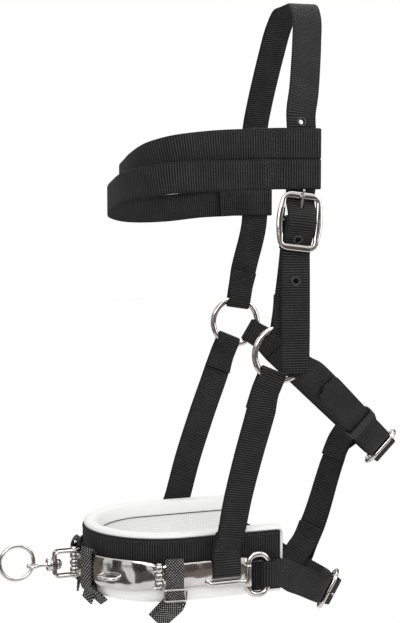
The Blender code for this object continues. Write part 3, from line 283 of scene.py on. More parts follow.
# Cheek rings
# Two welded steel rings, nickel plated and polished, from which all the side straps start.
# Handling leaves faint smudges and fine scratches on the plating.
NICKEL_DULL = (0.52, 0.50, 0.475, 1)
NICKEL_BRIGHT = (0.66, 0.645, 0.625, 1)
SCRATCH_STRETCH = (0.25, 0.25, 3)
nickel_finish = Finish("polished_nickel", Metallic=1)
smudge = nickel_finish.noise(nickel_finish.place(), 11, 3)
scratch = nickel_finish.noise(nickel_finish.place(SCRATCH_STRETCH), 0.9)
shine = nickel_finish.mix((smudge * 2 - 0.5).math("MAXIMUM", 0), NICKEL_DULL, NICKEL_BRIGHT)
nickel_finish.feed("Base Color", shine)
nickel_finish.feed("Roughness", smudge * 0.12 + 0.05)
wave = nickel_finish.noise(nickel_finish.place(), 15, 1)
rolling = nickel_finish.bump(wave, 0.8)
nickel_finish.feed("Normal", nickel_finish.bump(scratch + smudge * 2, 0.03, 0.15, Normal=rolling))


def closed_mesh(name, points, faces):
    """A closed mesh whose faces look outwards."""
    mesh = bpy.data.meshes.new(name)
    mesh.from_pydata([tuple(p) for p in points], [], faces)
    shape = bmesh.new()
    shape.from_mesh(mesh)
    bmesh.ops.recalc_face_normals(shape, faces=shape.faces)
    if shape.calc_volume(signed=True) < 0:
        bmesh.ops.reverse_faces(shape, faces=shape.faces)
    shape.to_mesh(mesh)
    shape.free()
    return mesh


def new_piece(name, points, faces, material, body, slot, replaced=(), sharp_deg=50):
    """A smooth piece of the object, attached to the body of a given name. A body given as two names and where
    the bend starts and ends leaves the piece unattached, and it does not bend.
    """
    mesh = closed_mesh(name, points, faces)
    mesh.shade_smooth()
    mesh.set_sharp_from_angle(angle=math.radians(sharp_deg))
    mesh.materials.append(material)
    piece = placed(name, mesh)
    if isinstance(body, tuple):
        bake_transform(piece)
    else:
        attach(piece, body)
    if replaced:
        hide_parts(*replaced)
    return piece


def sweep_faces(rows, sides, closed=False):
    """Faces between rows of points, with a cap on each end of an open sweep."""
    faces = []
    for i in range(rows if closed else rows - 1):
        a = i * sides
        b = (i + 1) % rows * sides
        faces += [(a + k, a + (k + 1) % sides, b + (k + 1) % sides, b + k) for k in range(sides)]
    if not closed:
        faces.append(tuple(range(sides))[::-1])
        faces.append(tuple((rows - 1) * sides + k for k in range(sides)))
    return faces


def round_path(centre, radius, u, v, steps):
    """Points round a circle in the plane of two directions."""
    turns = [math.tau * k / steps for k in range(steps)]
    return [centre + (u * math.cos(t) + v * math.sin(t)) * radius for t in turns]


ROD_END = ((0.3, 0), (0.72, 0.12), (0.94, 0.38), (1, 0.8))


class Casting:
    """Several closed shapes that make up one metal piece."""

    def __init__(self):
        self.points = []
        self.faces = []

    def add(self, points, faces):
        base = len(self.points)
        self.points += points
        self.faces += [tuple(base + n for n in face) for face in faces]
        return self

    def wire(self, path, normal, diameter, closed=True, sides=20):
        """Round wire bent along a path that lies square to a normal. Open ends are rounded off."""
        count = len(path)
        points = []
        for i, place in enumerate(path):
            ahead = path[(i + 1) % count if closed else min(i + 1, count - 1)]
            behind = path[i - 1 if closed else max(i - 1, 0)]
            run = (ahead - behind).normalized()
            side = run.cross(normal).normalized()
            fat = 1 if closed or 0 < i < count - 1 else 0.6
            points += round_path(place, diameter / 2 * fat, side, side.cross(run), sides)
        return self.add(points, sweep_faces(count, sides, closed))

    def lathe(self, profile, base, axis, sides=28):
        """A round shape from (radius, distance along the axis)."""
        axis = axis.normalized()
        side = axis.orthogonal().normalized()
        points = []
        for radius, along in profile:
            points += round_path(base + axis * along, radius, side, axis.cross(side), sides)
        return self.add(points, sweep_faces(len(profile), sides))

    def rod(self, start, end, diameter, tip=1):
        """A rod with rounded ends, which may taper towards its tip."""
        length = (end - start).length
        heel_radius, tip_radius = diameter / 2, diameter / 2 * tip
        profile = [(heel_radius * share, heel_radius * back) for share, back in ROD_END]
        profile += [(tip_radius * share, length - tip_radius * back) for share, back in reversed(ROD_END)]
        return self.lathe(profile, start, end - start)

    def made(self, node, suffix, body=None, sharp_deg=50, replaced=None):
        """The nickel piece that stands for a node, on the body of the same name unless another is given."""
        replaced = (node,) if replaced is None else replaced
        place = (nickel_finish.material, body or node, "nickel", replaced, sharp_deg)
        return new_piece(f"{node}_{suffix}", self.points, self.faces, *place)


CHEEK_RING_SPAN = 48 * MM
CHEEK_RING_WIRE = 5 * MM
ring_mean = (CHEEK_RING_SPAN - CHEEK_RING_WIRE) / 2
for side_name in ("near", "far"):
    ring_centre = Vector(joints[f"{side_name}_ring_spin"]["pos_m"])
    ring_path = round_path(ring_centre, ring_mean, AXIS_X, AXIS_Z, 72)
    ring = Casting().wire(ring_path, AXIS_Y, CHEEK_RING_WIRE)
    ring.made(f"{side_name}_cheek_ring", "polished")


# Crownpiece and its buckle strap
# Flat nylon webbing 25 mm wide, woven with fine crosswise ribs between two selvedges. The
# crownpiece is sewn round the far ring; its near end is a billet with burnt holes. A short
# strap, sewn round the near ring, holds the buckle.
WEBBING_BLACK = (0.0035, 0.0034, 0.0038, 1)
WEBBING_RIB_HIGHLIGHT = (0.085, 0.082, 0.086, 1)
# In millimetres
RIB_PITCH = 2.05
YARN_PITCH = 1.1
SELVEDGE_FROM = 11.3
webbing = Finish(
    "black_webbing", Roughness=0.7, Specular_IOR_Level=0.15, Sheen_Weight=0.02, Sheen_Roughness=0.5
)
along, across = webbing.walked("strap")
waver = webbing.noise(webbing.place(), 6)
ribs = (along / RIB_PITCH + waver * 0.25).ridges(1)
weave = ribs * (across.ridges(YARN_PITCH) * 0.3 + 0.7)
edge = across.math("ABSOLUTE").above(SELVEDGE_FROM, 0.3)
height = weave * (1 - edge) + along.ridges(YARN_PITCH) * edge * 0.8
wear_and_sheen = webbing.noise(webbing.place(), 14, 3)
thread = webbing.noise(webbing.place(), 0.7)
# The rib crests are painted lighter: a painted highlight, made patchy by a noise that also scales the
# thread's own speckle
light = height.math("POWER", 5) * (wear_and_sheen * 0.8 + 0.3) + thread * 0.12 * wear_and_sheen
webbing.feed("Base Color", webbing.mix(light.math("MINIMUM", 1), WEBBING_BLACK, WEBBING_RIB_HIGHLIGHT))
webbing.feed("Roughness", 0.85 - height * 0.25)
webbing.feed("Normal", webbing.bump(height + thread * 0.25, 0.45, 0.8))


def solid_shape(node):
    """A solid of the frame with its corners joined."""
    shape = bmesh.new()
    shape.from_mesh(frame["nodes"][node].data)
    bmesh.ops.remove_doubles(shape, verts=shape.verts, dist=1e-6)
    return shape


def end_faces(corner, sharp):
    """The four corners in order of an end of a strap that starts at this corner, with a long side first."""
    found = []
    for first in sharp[corner]:
        for second in sharp[corner]:
            wide = (first.co - corner.co).length
            if first is second or wide < 3 * (second.co - corner.co).length:
                continue
            for opposite in set(sharp[first]) & set(sharp[second]) - {corner}:
                ring = [corner, first, opposite, second]
                if all(len(set(sharp[v]) - set(ring)) == 1 for v in ring):
                    found.append(ring)
    return found


LONG_EDGE_DEG = (55, 135)
MOST_SECTIONS = 400


def strap_route(node):
    """Each section of a strap's solid in order, as its centre, half-width vector and half-thickness vector.

    The four long edges of the solid are sharp, so they can be walked from one end to the other.
    """
    shape = solid_shape(node)
    sharp = {}
    least, most = (math.radians(limit) for limit in LONG_EDGE_DEG)
    for edge in shape.edges:
        if len(edge.link_faces) == 2 and least < edge.calc_face_angle() < most:
            first, second = edge.verts
            sharp.setdefault(first, []).append(second)
            sharp.setdefault(second, []).append(first)
    best = []
    for chain in [c for v in sharp for c in end_faces(v, sharp)]:
        rows = [chain]
        before = ()
        while len(rows) < MOST_SECTIONS:
            options = [[o for o in sharp[v] if o not in before and o not in chain] for v in chain]
            if not all(options):
                break
            pairs = list(zip(chain, options, strict=True))
            sure = [o[0].co - v.co for v, o in pairs if len(o) == 1]
            step = sum(sure, Vector()) / len(sure) if sure else Vector()
            ahead = [min(o, key=lambda c, v=v: (c.co - v.co - step).length) for v, o in pairs]
            if len(set(ahead)) < 4:
                break
            before, chain = chain, ahead
            rows.append(chain)
        best = max(best, rows, key=len)
    route = []
    for row in best:
        a, b, c, d = (v.co.copy() for v in row)
        route.append(((a + b + c + d) / 4, (a - b + d - c) / 4, (a - d + b - c) / 4))
    shape.free()
    return route


def refined(route, step):
    """The same route with a section about every step, on a smooth curve through the given ones."""
    points, sides = (np.array([section[k] for section in route]) for k in (0, 1))
    legs = np.diff(points, axis=0)
    spans = np.linalg.norm(legs, axis=1)
    back, on = np.vstack([legs[:1], legs]), np.vstack([legs, legs[-1:]])
    before, after = np.append(spans[0], spans)[:, None], np.append(spans, spans[-1])[:, None]
    flows = (back / before * after + on / after * before) / (before + after)
    places, halves = [], []
    for i, span in enumerate(spans):
        steps = max(1, round(span / step))
        for t in np.arange(steps) / steps:
            flow = flows[i] * (t**3 - 2 * t**2 + t) + flows[i + 1] * (t**3 - t**2)
            share = 3 * t**2 - 2 * t**3
            places.append(points[i] * (1 - share) + points[i + 1] * share + flow * span)
            halves.append(sides[i] * (1 - t) + sides[i + 1] * t)
    return np.array([*places, points[-1]]), np.array([*halves, sides[-1]])


EDGE_TURNS_DEG = (-90, -50, 0, 50, 90)
FLAT_SHARES = (0.6, 0.2, -0.2, -0.6)
SECTION_SIDES = 2 * (len(EDGE_TURNS_DEG) + len(FLAT_SHARES))


def strap_section(half_width, half_depth):
    """Points round a strap's section: two rounded selvedges and two flat faces."""
    flat = half_width - half_depth
    outline = []
    for way in (1, -1):
        for turn_deg in EDGE_TURNS_DEG:
            turn = math.radians(turn_deg)
            outline.append((way * (flat + half_depth * math.cos(turn)), way * half_depth * math.sin(turn)))
        outline += [(way * flat * share, way * half_depth) for share in FLAT_SHARES]
    return outline


ROUTE_STEP = 2 * MM
WEBBING_SWELL = 1.15
LAP_GAP = 6 * MM
LAP_SPAN = (22 * MM, 130 * MM)
TIP_CORNER = 5 * MM


class Strap:
    """A strap's fine route, with its directions and the distance along it at each section."""

    def __init__(self, node, step=ROUTE_STEP, route=None):
        route = route or strap_route(node)
        self.node = node
        self.places, self.halves = refined(route, step)
        self.widths = np.linalg.norm(self.halves, axis=1)
        self.directions()
        self.half_depth = route[0][2].length * WEBBING_SWELL

    def directions(self):
        """Sets the way along, across and out of the face at each section, and the distance walked to it."""
        ahead = np.gradient(self.places, axis=0)
        self.along = ahead / np.linalg.norm(ahead, axis=1)[:, None]
        side = self.halves - self.along * (self.halves * self.along).sum(1)[:, None]
        self.across = side / np.linalg.norm(side, axis=1)[:, None]
        self.up = np.cross(self.along, self.across)
        gaps = np.linalg.norm(np.diff(self.places, axis=0), axis=1)
        self.length = np.concatenate([[0], np.cumsum(gaps)])

    def surface(self, distance, across, face):
        """A point on one face of the strap, and the direction out of that face."""
        i = int(np.argmin(np.abs(self.length - distance)))
        point = self.places[i] + self.across[i] * across + self.up[i] * self.half_depth * face
        return Vector(point + self.along[i] * (distance - self.length[i])), Vector(self.up[i] * face)

    def reach(self, last):
        """How far each section is from the first or from the last end."""
        return self.length[-1] - self.length if last else self.length

    def lap(self, last):
        """The section that a sewn end lies on, and the strap's face there, or None for a free tip."""
        tip = self.places[-1 if last else 0]
        near = (self.reach(last) > LAP_SPAN[0]) & (self.reach(last) < LAP_SPAN[1])
        gaps = np.where(near, np.linalg.norm(self.places - tip, axis=1), 1)
        i = int(np.argmin(gaps))
        if gaps[i] > LAP_GAP:
            return None
        return i, 1 if np.dot(tip - self.places[i], self.up[i]) > 0 else -1

    def lean(self, level, first, last):
        """Slants what hangs below a level forwards, with a slope for the first end and one for the last."""
        below = np.maximum(level - self.places[:, 2], 0)
        self.places[:, 0] -= below * np.where(self.length < self.length[-1] / 2, first, last)
        self.directions()

    def round_tip(self, last, corner):
        """Rounds the corners of a free end."""
        short = np.maximum(corner - self.reach(last), 0)
        self.widths = self.widths - corner + np.sqrt(np.maximum(corner**2 - short**2, 0))


def set_map(piece, name, maps):
    """Gives a piece a map with two distances for each of its points."""
    layer = piece.data.uv_layers.new(name=name)
    vertices = np.zeros(len(piece.data.loops), np.int32)
    piece.data.loops.foreach_get("vertex_index", vertices)
    layer.data.foreach_set("uv", np.array(maps, np.float32)[vertices].ravel())


def strap_mesh(strap, material, body, slot="webbing", name=None):
    """A strap along its route, with its map of metres along and across.

    It replaces its solid, unless it has a name of its own.
    """
    points = []
    maps = []
    for i, place in enumerate(strap.places):
        for a, b in strap_section(strap.widths[i], strap.half_depth):
            points.append(place + strap.across[i] * a + strap.up[i] * b)
            maps.append((strap.length[i], a))
    faces = sweep_faces(len(strap.places), SECTION_SIDES)
    replaced = () if name else (strap.node,)
    piece = new_piece(name or strap.node + "_woven", points, faces, material, body, slot, replaced, 60)
    set_map(piece, "strap", maps)
    return piece


def grained(name, grain_mm, dark, light, detail=2, relief=None, **sockets):
    """A finish that is speckled with two colours, and rough where a relief is given."""
    finish = Finish(name, **sockets)
    grain = finish.noise(finish.place(), grain_mm, detail)
    finish.feed("Base Color", finish.mix(grain, dark, light))
    if relief:
        finish.feed("Normal", finish.bump(grain, *relief))
    return finish.material


STITCH_LENGTH = 2.3 * MM
STITCH_PITCH = 2.9 * MM
THREAD_RADIUS = 0.3 * MM
THREAD_SIDES = 6
# Share of a stitch's length, its thickness there and how far it stands out of the cloth
THREAD_RISE = ((0, 0.3, -0.6), (0.25, 1, 0.4), (0.75, 1, 0.4), (1, 0.3, -0.6))
THREAD_BLACK = (0.005, 0.005, 0.0052, 1)
THREAD_SHINE = (0.018, 0.018, 0.019, 1)
black_thread = grained("sewing_thread", 0.4, THREAD_BLACK, THREAD_SHINE, 1, Roughness=0.5)


def stitches(name, rows, body):
    """Threads on straps. A row is a strap, a face and (distance, across) at each end of a line."""
    threads = Casting()
    for strap, face, (s0, v0), (s1, v1) in rows:
        reach = math.hypot(s1 - s0, v1 - v0)
        count = max(1, round(reach / STITCH_PITCH))
        half = STITCH_LENGTH / 2 / reach
        for k in range(count):
            shares = [(k + 0.5) / count + way * half for way in (-1, 1)]
            (start, up), (end, _) = (
                strap.surface(s0 + (s1 - s0) * t, v0 + (v1 - v0) * t, face) for t in shares
            )
            side = (end - start).normalized().cross(up)
            points = []
            for share, fat, lift in THREAD_RISE:
                centre = start.lerp(end, share) + up * lift * THREAD_RADIUS
                points += round_path(centre, THREAD_RADIUS * fat, side, up, THREAD_SIDES)
            threads.add(points, sweep_faces(len(THREAD_RISE), THREAD_SIDES))
    new_piece(name, threads.points, threads.faces, black_thread, body, "webbing")


def box_rows(strap, face, start, end, half_width):
    """Rows of a box stitch with a cross in it, between two distances along a strap."""
    corners = [(start, -half_width), (end, -half_width), (end, half_width), (start, half_width)]
    rows = [(strap, face, corners[k], corners[(k + 1) % 4]) for k in range(4)]
    return rows + [(strap, face, corners[0], corners[2]), (strap, face, corners[1], corners[3])]


BOX_INSET = 2.5 * MM
BOX_LENGTH = 11 * MM
BOX_HALF_WIDTH = 9.3 * MM


def sewn_ends(strap, body, corner=TIP_CORNER):
    """Box stitches through both layers of each sewn end, and rounded corners on a free tip."""
    rows = []
    for last, tip, inward in ((False, 0, 1), (True, -1, -1)):
        found = strap.lap(last)
        if not found:
            strap.round_tip(last, corner)
            continue
        i, face = found
        tip_face = 1 if np.dot(strap.places[tip] - strap.places[i], strap.up[tip]) > 0 else -1
        for base, way, outer in ((strap.length[i], -inward, -face), (strap.length[tip], inward, tip_face)):
            start, end = (base + way * reach for reach in (BOX_INSET, BOX_INSET + BOX_LENGTH))
            rows += box_rows(strap, outer, start, end, BOX_HALF_WIDTH)
    if rows:
        stitches(strap.node + "_stitching", rows, body)


def sewn_strap(node, body="headstall", spread=0, corner=TIP_CORNER, route=None):
    """A whole strap of plain webbing with its sewn ends."""
    strap = Strap(node, route=route)
    strap.widths = strap.widths + spread
    sewn_ends(strap, body, corner)
    return strap, strap_mesh(strap, webbing.material, body)


def bar(casting, start, end, diameter):
    """A plain round bar."""
    casting.lathe([(diameter / 2, 0), (diameter / 2, (end - start).length)], start, end - start, 24)


def cut(piece, tool):
    """Cuts the shapes of a tool out of a piece."""
    cutter = placed("cutter", closed_mesh("cutter", tool.points, tool.faces))
    step = piece.modifiers.new("cut", "BOOLEAN")
    step.operation = "DIFFERENCE"
    step.solver = "EXACT"
    step.object = cutter
    graph = bpy.context.evaluated_depsgraph_get()
    whole = bpy.data.meshes.new_from_object(piece.evaluated_get(graph))
    piece.modifiers.remove(step)
    piece.data = whole
    bpy.data.objects.remove(cutter)


HOLE_SPAN = 4 * MM
BEAD_RADIUS = 3.3 * MM
BEAD_WIRE = 1 * MM
HOLE_LEVELS = (-101.6, -133.1, -196.1, -230.5)
NEAR_SIDE_FROM = -80 * MM
MELTED_BLACK = (0.02, 0.02, 0.021, 1)
MELTED_SHINE = (0.07, 0.07, 0.072, 1)
melted = grained("melted_nylon", 0.8, MELTED_BLACK, MELTED_SHINE, Roughness=0.25, Specular_IOR_Level=0.6)

sewn_strap("near_crown_buckle_strap")
crown_strap, crown_piece = sewn_strap("crownpiece")
near_half = [i for i, place in enumerate(crown_strap.places) if place[1] < NEAR_SIDE_FROM]
hole_tool = Casting()
hole_beads = Casting()
for level in HOLE_LEVELS:
    spot = min(near_half, key=lambda i: abs(crown_strap.places[i][2] - level * MM))
    ways = (crown_strap.up, crown_strap.along, crown_strap.across, crown_strap.places)
    way, along, across, middle = (Vector(values[spot]) for values in ways)
    bar(hole_tool, middle - way * HOLE_SPAN, middle + way * HOLE_SPAN, HOLE_SPAN)
    for face in (-1, 1):
        bead_middle = middle + way * face * crown_strap.half_depth
        hole_beads.wire(round_path(bead_middle, BEAD_RADIUS, along, across, 24), way, BEAD_WIRE, sides=8)
new_piece("crownpiece_hole_beads", hole_beads.points, hole_beads.faces, melted, "headstall", "webbing")


# Buckles
# Three like centre-bar buckles of cast and plated metal: a bowed frame round a bar, and a tongue
# whose eye turns on the bar and whose tip rests on the frame.
BUCKLE_HALF_LENGTH = 22 * MM
BUCKLE_HALF_BAR = 17.5 * MM
BUCKLE_WIRE = 4 * MM
BUCKLE_DEPTH = 3.6 * MM
WINDOW_HALF_LENGTH = 18.3 * MM
WINDOW_HALF_WIDTH = 13 * MM
END_HALF_WIDTH = 14.8 * MM
END_CORNER = 6.5 * MM
BAR_WIRE = 3.4 * MM
TONGUE_WIRE = 2.6 * MM
TONGUE_EYE = 3.4 * MM
TONGUE_LIFT = 3.7 * MM
TONGUE_TAPER = 0.85
CORNER_STEPS = 8
SIDE_SHARES = (0.8, 0.6, 0.4, 0.2, 0, -0.2, -0.4, -0.6, -0.8)
FRAME_SIDES = 20


def node_points(node):
    """The corners of a solid of the frame."""
    return np.array([corner.co for corner in frame["nodes"][node].data.vertices])


def buckle_seat(name):
    """A buckle's middle, and the ways to its tongue's tip, along its bar and out of its face.

    The tongue turns on the bar, and square to the bar the solid is longest towards the tip.
    """
    hinge = joints[f"{name}_tongue_play"]
    seat, bar_way = Vector(hinge["pos_m"]), Vector(hinge["axis"])
    reach = node_points(f"{name}_buckle_frame") - seat
    reach -= np.outer(reach @ bar_way, bar_way)
    tip_way = Vector(np.linalg.eigh(reach.T @ reach)[1][:, -1])
    if (node_points(f"{name}_buckle_tongue") - seat).mean(0) @ tip_way < 0:
        tip_way = -tip_way
    return seat, tip_way, bar_way, bar_way.cross(tip_way)


def bowed_outline(half_length, half_width, corner, bow=0):
    """Points round a rounded rectangle whose long sides may bow outwards."""
    outline = []
    for quarter, (i, j) in enumerate(((1, 1), (-1, 1), (-1, -1), (1, -1))):
        for step in range(CORNER_STEPS + 1):
            turn = math.pi / 2 * (quarter + step / CORNER_STEPS)
            u = i * (half_length - corner) + corner * math.cos(turn)
            v = j * (half_width - corner) + corner * math.sin(turn)
            outline.append((u, v + j * bow * max(0, 1 - (u / half_length) ** 2)))
        for share in SIDE_SHARES if i == j else ():
            u = i * (half_length - corner) * share
            outline.append((u, j * (half_width + bow * (1 - (u / half_length) ** 2))))
    return outline


def squarer(value, power):
    """A sine or cosine drawn towards -1 and 1, which makes a round section squarer."""
    return math.copysign(abs(value) ** power, value)


def cast_frame(centre, u_way, v_way, inner, outer, depth):
    """A flat cast frame with rounded edges between its inner and its outer outline."""
    face = u_way.cross(v_way) * depth / 2
    points = []
    for edges in zip(inner, outer, strict=True):
        near, far = (centre + u_way * u + v_way * v for u, v in edges)
        for k in range(FRAME_SIDES):
            turn = math.tau * k / FRAME_SIDES
            across = 0.5 + squarer(math.cos(turn), 0.75) / 2
            points.append(near.lerp(far, across) + face * squarer(math.sin(turn), 0.75))
    return Casting().add(points, sweep_faces(len(inner), FRAME_SIDES, True))


end_reach = BUCKLE_HALF_LENGTH + BUCKLE_WIRE / 2
side_bow = BUCKLE_HALF_BAR + BUCKLE_WIRE / 2 - END_HALF_WIDTH
window = bowed_outline(WINDOW_HALF_LENGTH, WINDOW_HALF_WIDTH, BUCKLE_WIRE / 2)
outline = bowed_outline(end_reach, END_HALF_WIDTH, END_CORNER, side_bow)
for buckle_name in ("crown", "throat", "chin"):
    seat, tip_way, cross_way, face_way = buckle_seat(buckle_name)
    buckle = cast_frame(seat, tip_way, cross_way, window, outline, BUCKLE_DEPTH)
    buckle.rod(seat - cross_way * BUCKLE_HALF_BAR, seat + cross_way * BUCKLE_HALF_BAR, BAR_WIRE)
    buckle.made(f"{buckle_name}_buckle", "polished", "headstall", 50, (f"{buckle_name}_buckle_frame",))
    eye_path = round_path(seat, TONGUE_EYE, tip_way, face_way, 28)
    tongue = Casting().wire(eye_path, cross_way, TONGUE_WIRE, sides=14)
    heel = seat + tip_way * TONGUE_EYE
    rest = seat + tip_way * BUCKLE_HALF_LENGTH + face_way * TONGUE_LIFT
    end = rest + (rest - heel).normalized() * BUCKLE_WIRE
    tongue.rod(heel, end, TONGUE_WIRE, TONGUE_TAPER)
    tongue.made(f"{buckle_name}_buckle_tongue", "polished")
    if buckle_name == "crown":
        bar(hole_tool, heel, end, HOLE_SPAN)
cut(crown_piece, hole_tool)


# Browband
# Two rows of the same webbing laid edge to edge, each turned round the crownpiece at its ends
# and sewn back on itself. The selvedges of the rows touch.
for row_name in ("browband_upper_row", "browband_lower_row"):
    sewn_strap(row_name, spread=0.35 * MM)


# Nose pad
# A U of foam 11 mm thick, covered in white spacer fabric with a fine square grid. Its upper edge
# is bound with a smooth white strip, and the black band is sewn along its outer face.
NOSE_CENTRE = Vector((-60, 0, -473)) * MM
NOSE_TURN = math.radians(5)
REARWARD = Vector((math.cos(NOSE_TURN), math.sin(NOSE_TURN), 0))
FARWARD = Vector((-math.sin(NOSE_TURN), math.cos(NOSE_TURN), 0))
PAD_HALF_WIDTH = 63 * MM
PAD_FRONT = 68 * MM
PAD_STRAIGHT = 60 * MM
PAD_REAR = 27 * MM
PAD_THICKNESS = 11 * MM
PAD_HEIGHT = 57 * MM
PAD_BOTTOM = 24 * MM
PAD_END_ROUND = 4 * MM


def nose_side(side, rear, offset=0, rise=0):
    """A point on a straight side of the noseband, offset outwards from the pad's outer face."""
    return NOSE_CENTRE + REARWARD * rear + FARWARD * side * (PAD_HALF_WIDTH + offset) + AXIS_Z * rise


def nose_outward(degrees):
    turn = math.radians(degrees)
    return (FARWARD * PAD_FRONT * math.sin(turn) - REARWARD * PAD_HALF_WIDTH * math.cos(turn)).normalized()


def nose_front(degrees, offset=0, rise=0):
    """A point on the curved front: 0 is the middle, -90 the near side and 90 the far side."""
    turn = math.radians(degrees)
    rear = -PAD_STRAIGHT - PAD_FRONT * math.cos(turn)
    base = NOSE_CENTRE + REARWARD * rear + FARWARD * PAD_HALF_WIDTH * math.sin(turn)
    return base + nose_outward(degrees) * offset + AXIS_Z * rise


def nose_line(rear_end):
    """(point, outward) all round the noseband, from its near rear end to its far one."""
    sides = np.linspace(rear_end, -PAD_STRAIGHT, 34)[:-1]
    line = [(nose_side(-1, rear), -FARWARD) for rear in sides]
    line += [(nose_front(degrees), nose_outward(degrees)) for degrees in range(-90, 91, 2)]
    return line + [(nose_side(1, rear), FARWARD) for rear in reversed(sides)]


# Outwards in shares of the pad's thickness, upwards in shares of its height
pad_section_shares = (
    *((-0.4, 0.0), (-0.12, 0.012), (0.03, 0.05), (0.1, 0.12), (0.12, 0.22), (0.11, 0.34), (0.06, 0.43)),
    *((0.0, 0.47), (0.0, 0.6), (0.0, 0.75), (0.0, 0.93), (0.05, 0.955), (0.03, 0.98), (-0.12, 0.997)),
    *((-0.4, 1.0), (-0.68, 0.994), (-0.88, 0.965), (-1.0, 0.91), (-1.07, 0.8), (-1.14, 0.65)),
    *((-1.18, 0.5), (-1.16, 0.35), (-1.09, 0.2), (-1.0, 0.09), (-0.88, 0.03), (-0.68, 0.005)),
)


def rounder(outline, steps):
    """A closed outline with more points, on a smooth curve through the given ones."""
    given = np.array(outline)
    found = []
    for i in range(len(given)):
        p0, p1, p2, p3 = (given[(i + k) % len(given)] for k in (-1, 0, 1, 2))
        for t in np.arange(steps) / steps:
            square = (p0 * 2 - p1 * 5 + p2 * 4 - p3) * t**2
            cube = (p1 * 3 - p0 - p2 * 3 + p3) * t**3
            found.append((p1 * 2 + (p2 - p0) * t + square + cube) / 2)
    return np.array(found)


GRID_PITCH = 1.9
PAD_SHADE = (0.6, 0.6, 0.585, 1)
PAD_WHITE = (0.88, 0.88, 0.865, 1)
pad_cloth = Finish("white_spacer_fabric", Roughness=0.9, Specular_IOR_Level=0.3, Sheen_Weight=0.15)
grid_lines = [distance.ridges(GRID_PITCH) for distance in pad_cloth.walked("pad")]
grid_height = grid_lines[0].math("MINIMUM", grid_lines[1]).math("POWER", 0.6)
fluff = pad_cloth.noise(pad_cloth.place(), 0.6)
cloud = pad_cloth.noise(pad_cloth.place(), 16, 3)
light = grid_height * 0.8 + fluff * 0.2 + cloud * 0.25
pad_cloth.feed("Base Color", pad_cloth.mix(light.math("MINIMUM", 1), PAD_SHADE, PAD_WHITE))
pad_cloth.feed("Normal", pad_cloth.bump(grid_height + fluff * 0.3, 0.4, 0.7))

END_TURNS_DEG = (70, 45, 20, 0)
END_SHRINK = 0.45
RIPPLE = 0.5 * MM


def pad_sweep(name, offsets, material, replaced=()):
    """Sweeps a section, outwards and upwards from the noseband's line, round it and its rounded ends."""
    middle_out = -PAD_THICKNESS / 2
    middle_up = PAD_HEIGHT / 2 - PAD_BOTTOM
    stations = [(p, out, 1) for p, out in nose_line(PAD_REAR - PAD_END_ROUND)]
    for turn in np.radians(END_TURNS_DEG):
        inset = PAD_END_ROUND * (1 - math.cos(turn))
        size = 1 - END_SHRINK * (1 - math.sin(turn))
        stations.insert(0, (nose_side(-1, PAD_REAR - inset), -FARWARD, size))
        stations.append((nose_side(1, PAD_REAR - inset), FARWARD, size))
    ring = np.linalg.norm(np.diff(offsets, axis=0, prepend=offsets[:1]), axis=1).cumsum()
    points, maps = [], []
    walked, last = 0, stations[0][0]
    for p, out, size in stations:
        walked += (p - last).length
        last = p
        for (out_by, up_by), round_distance in zip(offsets, ring, strict=True):
            # The inner face alone is rippled, most of all at half its height
            inner = min(1, max(0, (-out_by / PAD_THICKNESS - 0.7) * 5))
            inner *= max(0, 1 - abs(up_by - middle_up) / PAD_HEIGHT * 2)
            ripple = RIPPLE * math.sin(walked * 95 + up_by * 60) * inner
            x = middle_out + (out_by - middle_out) * size + ripple
            z = middle_up + (up_by - middle_up) * size
            points.append(p + out * x + AXIS_Z * z)
            maps.append((walked, round_distance))
    faces = sweep_faces(len(stations), len(offsets))
    piece = new_piece(name, points, faces, material, "headstall", "padding", replaced, 75)
    set_map(piece, "pad", maps)
    return piece


SECTION_STEPS = 3
pad_section = rounder(pad_section_shares, SECTION_STEPS) * (PAD_THICKNESS, PAD_HEIGHT) - (0, PAD_BOTTOM)
pad_piece = pad_sweep("nose_pad_cushion", pad_section, pad_cloth.material, ("nose_pad",))

BINDING_PROUD = 0.55 * MM
BINDING_ROOT = 0.9 * MM
binding_looks = {"Roughness": 0.55, "Specular_IOR_Level": 0.4, "Sheen_Weight": 0.1}
binding_cloth = grained(
    "white_binding", 0.5, (0.78, 0.78, 0.77, 1), (0.9, 0.9, 0.89, 1), relief=(0.12, 0.5), **binding_looks
)
flow = np.roll(pad_section, -1, 0) - np.roll(pad_section, 1, 0)
normals = flow[:, ::-1] * (1, -1) / np.linalg.norm(flow, axis=1)[:, None]


def bind(name, first, last):
    """Lays a strip over the pad's section from one of its given points to another."""
    span = np.arange(first * SECTION_STEPS, last * SECTION_STEPS + 1)
    proud = np.full((len(span), 1), BINDING_PROUD)
    proud[[0, -1]] = 0
    outside = pad_section[span] + normals[span] * proud
    inside = pad_section[span] - normals[span] * BINDING_ROOT
    pad_sweep(name, np.concatenate([outside, inside[::-1]]), binding_cloth)


# From just above the band, over the rim, to further down the inner face, where a seam shows
RIM_FIRST, RIM_LAST = 10, 18
bind("nose_pad_binding", RIM_FIRST, RIM_LAST)
bind("nose_pad_foot_binding", -3, 4)
SEAM_RADIUS = 0.45 * MM
SEAM_SHARE = 0.4
seam_turns = np.linspace(0, math.tau, 9)[:-1]
seam_row = RIM_LAST * SECTION_STEPS
seam_middle = pad_section[seam_row] + normals[seam_row] * BINDING_PROUD * SEAM_SHARE
seam_section = seam_middle + np.stack([np.cos(seam_turns), np.sin(seam_turns)], 1) * SEAM_RADIUS
pad_sweep("nose_pad_binding_seam", seam_section, black_thread)


